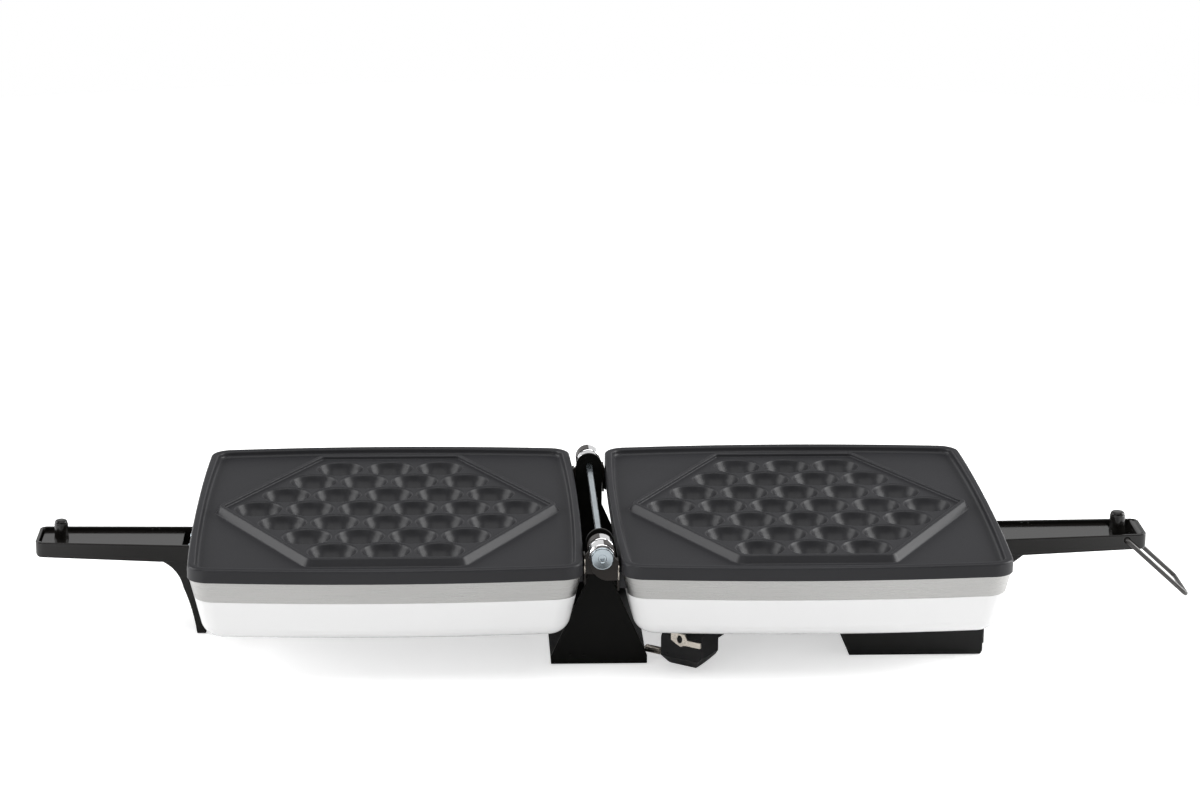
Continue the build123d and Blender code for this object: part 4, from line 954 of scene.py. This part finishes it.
class WAFFLE_OT_cord(bpy.types.Operator):
    """Mains cord on one smooth line, its strain relief, its tie and the angle plug"""

    bl_idname = "waffle.cord"
    bl_label = "Mains cord and plug"

    def execute(self, context):
        relief = self.relief()
        tie = self.tie()
        body = self.plug()
        clip = self.clip()
        turns = coil_route()
        x, _, z = PLUG_CORD
        bend, tip = (PLUG_PLACE @ Vector((x, y, z)) for y in (54.5, 34.0))
        route = [
            GLAND, GLAND - Vector((13.0, 0, 0)), (106.0, GLAND.y, CORD_RADIUS),
            turns[0] + Vector((7.0, 0, 0)), *turns, turns[-1] - Vector((0, 7.0, 0)),
            (130.5, 8.5, 26.0), (123.0, -10.0, 23.0), (109.2, -28.0, 18.5), bend, tip]
        curve = bpy.data.curves.new("mains_cord", "CURVE")
        curve.dimensions = "3D"
        curve.resolution_u = 8
        curve.bevel_depth = CORD_RADIUS * MM
        curve.bevel_resolution = 6
        curve.use_fill_caps = True
        spline = curve.splines.new("NURBS")
        spline.points.add(len(route) - 1)
        for point, place in zip(spline.points, route):
            point.co = (*(Vector(place) * MM), 1.0)
        spline.order_u = 3
        spline.use_endpoint_u = True
        cord = add_piece(
            "mains_cord", curve, "cord_black", "base",
            ["mains_cord_box_end", "mains_cord_coil", "mains_cord_plug_end"])
        return {"FINISHED"}

    def plug(self):
        """Angle plug: a drum cut flat at its near side, below and behind, and its relief."""
        bm = bmesh.new()
        drum = [
            (0, 0), (PLUG_RADIUS - 0.8, 0), (PLUG_RADIUS, 0.8), (PLUG_RADIUS, PLUG_DEPTH),
            (0, PLUG_DEPTH)]
        lathe(bm, drum, (0, 0, 0), OUTWARD, 60)
        for place, normal in (
            ((0, PLUG_FLAT, 0), FORWARD),
            ((0, PLUG_FLAT, -6.5), (0, -0.61, -0.79)),
            ((19.0, 0, -15.0), (0.74, 0, -0.67)),
            ((24.0, 13.0, 0), (0.7, 0.7, 0)),
        ):
            cut_away(bm, place, Vector(normal).normalized(), 1.0)
        bmesh.ops.dissolve_limit(bm, angle_limit=radians(0.5), verts=bm.verts, edges=bm.edges)
        sharp = [edge for edge in bm.edges if edge.calc_face_angle(0) > radians(24)]
        bmesh.ops.bevel(
            bm, geom=sharp, offset=0.8, segments=3, profile=0.5, affect="EDGES",
            clamp_overlap=True)
        profile = [(0, 0), (4.4, 0)]
        for k in range(5):
            start = 10.0 + k * 3.6
            radius = 4.4 - 0.09 * k
            profile += [
                (radius, start), (radius - 0.5, start + 0.4),
                (radius - 0.5, start + 1.2), (radius, start + 1.6)]
        profile += [(3.9, 34.0), (3.6, 34.5), (0, 34.5)]
        lathe(bm, profile, PLUG_CORD, REARWARD, 36)
        rivet = [(0, 0.5), (0.8, 0.4), (1.0, 0), (0, 0)]
        lathe(bm, rivet, (4.5, PLUG_FLAT, -4.6), FORWARD, 20)
        bmesh.ops.transform(bm, matrix=PLUG_PLACE, verts=bm.verts)
        return add_made(bm, "plug_drum", "plug_black", "base", ["plug_body"])

    def clip(self):
        """Earth clip on the near side of the plug: a tab with its hole, a neck and a strip."""
        outline = round_profile([
            (8.0, 10.5, 0), (8.0, 5.6, 0.3), (11.0, 3.8, 0.5), (15.0, 2.0, 1.2),
            (17.2, 3.2, 0.5), (18.6, 3.4, 0.3), (29.0, 3.4, 0.3), (29.0, 6.9, 0.3),
            (19.8, 6.9, 0.5), (17.6, 10.5, 0.8), (8.0, 10.5, 0),
        ], 3)[:-1]
        hole = [(14.2 + 1.9 * c, 6.8 - 2.6 * s) for c, s in spokes(24)]
        bm = bmesh.new()
        faces = []
        for level in (PLUG_FLAT, PLUG_FLAT - 1.3):
            loops = [[bm.verts.new((u, v, level)) for u, v in loop] for loop in (outline, hole)]
            fill_flat(bm, *loops)
            faces.append(loops)
        for first, second in zip(*faces):
            bridge(bm, first, second)
        stand_up = Matrix(((1, 0, 0), (0, 0, 1), (0, 1, 0))).to_4x4()
        bmesh.ops.transform(bm, matrix=PLUG_PLACE @ stand_up, verts=bm.verts)
        clip = add_made(bm, "earth_clip", "nickel", "base", ["plug_earth_clip"], even=False)
        return round_edges(clip, 0.2 * MM, 2, radians(30.0))

    def relief(self):
        """Ribbed strain relief that tapers from the box towards the cord."""
        tip, root, length = 4.8, 6.0, 21.5
        profile = [(0, 0), (tip - 0.6, 0), (tip, 0.5)]
        for k in range(6):
            start = 1.2 + k * 3.3
            radius = tip + (root - tip) * start / length
            profile += [
                (radius, start), (radius + 0.05, start + 1.6),
                (radius - 0.75, start + 1.9), (radius - 0.7, start + 2.9)]
        profile += [(root, length), (root + 0.2, length + 1.0), (4.4, 22.4), (4.4, 28.0)]
        profile += [(5.4, 28.0), (5.4, 30.0), (0, 30.0)]
        bm = bmesh.new()
        lathe(bm, profile, GLAND, OUTWARD, 40)
        return add_made(bm, "cable_gland_ribbed", "cord_black", "base", ["cable_gland"])

    def tie(self):
        """Strap round the turns of the coil."""
        outline = round_profile([
            (50.0, 0.1, 0), (60.8, 0.1, 4.0), (60.8, 30.2, 4.0), (40.3, 30.2, 4.0),
            (40.3, 0.1, 4.0), (50.0, 0.1, 0),
        ], 8)[:-1]
        middle = Vector((50.5, 15.0))
        section = ((32.2, 0), (31.9, -0.4), (32.2, -0.8), (37.8, -0.8), (38.1, -0.4), (37.8, 0))
        rings = []
        for y, growth in section:
            spots = [spot + (spot - middle).normalized() * growth for spot in outline]
            rings.append([(spot.x, y, max(0.05, spot.y)) for spot in spots])
        bm = bmesh.new()
        made = stack(bm, rings)
        bridge(bm, made[-1], made[0])
        return add_made(bm, "cord_tie", "cord_black", "base", even=False)


# Finishes and stage


class WAFFLE_OT_finishes(bpy.types.Operator):
    """All finishes, given to the frame's own nodes as well"""

    bl_idname = "waffle.finishes"
    bl_label = "Finishes"

    def execute(self, context):
        colours = context.scene.waffle_finishes
        grain_group()
        brushed_group()
        slope_group()
        for slot, (colour, rough, spread, rest) in FINISHES.items():
            if isinstance(colour, str):
                colour = getattr(colours, colour)
            make_finish(slot, tuple(colour), rough, spread, **rest)
        for row in frame["record"]["subparts"]:
            obj = frame["nodes"][row["node"]]
            for place in obj.material_slots:
                place.material = MATERIALS[row["material_slot"]]
        return {"FINISHED"}


def seen_rays(tree):
    """In an emptied tree, masks of the camera's rays and of those that gloss sends on."""
    tree.nodes.clear()
    rays = add_node(tree, "LightPath").outputs
    sent_on = add_math(tree, "MAXIMUM", rays["Is Glossy Ray"], rays["Is Transmission Ray"])
    return rays["Is Camera Ray"], sent_on


class WAFFLE_OT_stage(bpy.types.Operator):
    """Pale floor, soft lights and the camera of the photograph"""

    bl_idname = "waffle.stage"
    bl_label = "Stage"

    def execute(self, context):
        values = context.scene.waffle_stage
        self.floor(values)
        self.world(context.scene, values)
        for name, (place, target, size, setting, share) in LAMPS.items():
            self.lamp(name, place, target, size, share * getattr(values, setting))
        self.camera(context.scene)
        context.scene.view_settings.view_transform = "Standard"
        return {"FINISHED"}

    def floor(self, values):
        """Pale round floor; reflections see it white beside the object and dark in front."""
        bm = bmesh.new()
        bmesh.ops.create_circle(bm, cap_ends=True, radius=1.9, segments=96)
        bmesh.ops.translate(bm, vec=(0, 0, -0.0004), verts=bm.verts)
        mesh = bpy.data.meshes.new("floor")
        bm.to_mesh(mesh)
        bm.free()
        obj = link_new("floor", mesh)
        material = bpy.data.materials.new("floor")
        material.use_nodes = True
        tree = material.node_tree
        seen, sent_on = seen_rays(tree)
        matte = add_node(tree, "BsdfDiffuse", {"Color": (*values.floor, 1.0)})
        place = add_node(tree, "TexCoord").outputs["Object"]
        parts = add_node(tree, "SeparateXYZ", {"Vector": place}).outputs
        aside = add_math(tree, "ABSOLUTE", parts["X"])
        flank = add_ramp(tree, aside, 0.30, 0.46, 0.0, values.flank, "SMOOTHSTEP")
        shine = add_math(tree, "MULTIPLY", sent_on, flank)
        strength = add_math(tree, "MULTIPLY_ADD", seen, values.show_white, shine)
        white = add_node(tree, "Emission", {"Strength": strength})
        lit = add_node(tree, "AddShader", {0: matte.outputs[0], 1: white.outputs[0]})
        front = add_ramp(tree, parts["Y"], -0.28, -0.75, kind="SMOOTHSTEP")
        share = add_math(tree, "MULTIPLY", front, sent_on)
        dark = add_node(tree, "Emission", {"Strength": values.dark})
        both = add_node(tree, "MixShader", {0: share, 1: lit.outputs[0], 2: dark.outputs[0]})
        add_node(tree, "OutputMaterial", {"Surface": both.outputs[0]})
        obj.data.materials.append(material)

    def world(self, scene, values):
        """Even room light; white where seen, and dark behind the camera in reflections."""
        world = bpy.data.worlds.new("room")
        scene.world = world
        world.use_nodes = True
        tree = world.node_tree
        seen, sent_on = seen_rays(tree)
        place = add_node(tree, "TexCoord").outputs["Generated"]
        parts = add_node(tree, "SeparateXYZ", {"Vector": place}).outputs
        back = add_ramp(tree, parts["Y"], -0.6, 0.0, values.dark, values.back, "SMOOTHSTEP")
        room = add_node(tree, "Mix", {0: sent_on, 2: values.room, 3: back})
        strength = add_node(tree, "Mix", {0: seen, 2: room.outputs[0], 3: 1.0})
        light = add_node(
            tree, "Background", {"Color": (1.0, 1.0, 1.0, 1.0), "Strength": strength.outputs[0]})
        add_node(tree, "OutputWorld", {"Surface": light.outputs[0]})

    def lamp(self, name, place, target, size, watts):
        """One large soft light."""
        light = bpy.data.lights.new(name, "AREA")
        light.shape = "RECTANGLE"
        light.size, light.size_y = size
        light.energy = watts
        obj = link_new(name, light)
        obj.location = place
        obj.rotation_euler = (Vector(target) - Vector(place)).to_track_quat("-Z", "Y").to_euler()

    def camera(self, scene):
        """Camera where the photographer's stood."""
        yaw, pitch, roll = (radians(angle) for angle in CAMERA_ANGLES)
        data = bpy.data.cameras.new("camera")
        data.sensor_width = 36.0
        data.sensor_fit = "HORIZONTAL"
        data.lens = CAMERA_LENS
        data.clip_end = 60.0
        obj = link_new("camera", data)
        obj.matrix_world = (
            Matrix.Translation(CAMERA_PLACE) @ Matrix.Rotation(-yaw, 4, "Z")
            @ Matrix.Rotation(pi / 2 - pitch, 4, "X") @ Matrix.Rotation(roll, 4, "Z"))
        scene.camera = obj


# Panel and registration


class WAFFLE_PT_panel(bpy.types.Panel):
    """The pieces of the waffle maker, in the order in which they are made"""

    bl_idname = "WAFFLE_PT_panel"
    bl_label = "Waffle maker"
    bl_space_type = "VIEW_3D"
    bl_region_type = "UI"
    bl_category = "Waffle maker"

    def draw(self, context):
        for group in SETTINGS:
            box = self.layout.box()
            values = getattr(context.scene, group)
            for name in values.bl_rna.properties.keys():
                if name not in ("rna_type", "name"):
                    box.prop(values, name)
        for operator in OPERATORS:
            self.layout.operator(operator.bl_idname)


SETTINGS = {
    "waffle_plates": PlateSettings,
    "waffle_edges": EdgeSettings,
    "waffle_finishes": FinishSettings,
    "waffle_stage": StageSettings,
}
OPERATORS = (
    WAFFLE_OT_finishes, WAFFLE_OT_stage, WAFFLE_OT_cord, WAFFLE_OT_plates, WAFFLE_OT_casings,
    WAFFLE_OT_handles, WAFFLE_OT_hinge, WAFFLE_OT_stand, WAFFLE_OT_latch,
    WAFFLE_OT_control_box, WAFFLE_OT_screws,
)


def register():
    for name, group in SETTINGS.items():
        bpy.utils.register_class(group)
        setattr(bpy.types.Scene, name, PointerProperty(type=group))
    for item in (*OPERATORS, WAFFLE_PT_panel):
        bpy.utils.register_class(item)


def unregister():
    for item in (WAFFLE_PT_panel, *reversed(OPERATORS)):
        bpy.utils.unregister_class(item)
    for name, group in SETTINGS.items():
        delattr(bpy.types.Scene, name)
        bpy.utils.unregister_class(group)


def main():
    """Make every piece in order."""
    register()
    bpy.ops.waffle.finishes()
    bpy.ops.waffle.stage()
    bpy.ops.waffle.cord()
    bpy.ops.waffle.plates()
    bpy.ops.waffle.casings()
    bpy.ops.waffle.handles()
    bpy.ops.waffle.hinge()
    bpy.ops.waffle.stand()
    bpy.ops.waffle.latch()
    bpy.ops.waffle.control_box()
    bpy.ops.waffle.screws()


if __name__ == "__main__":
    main()
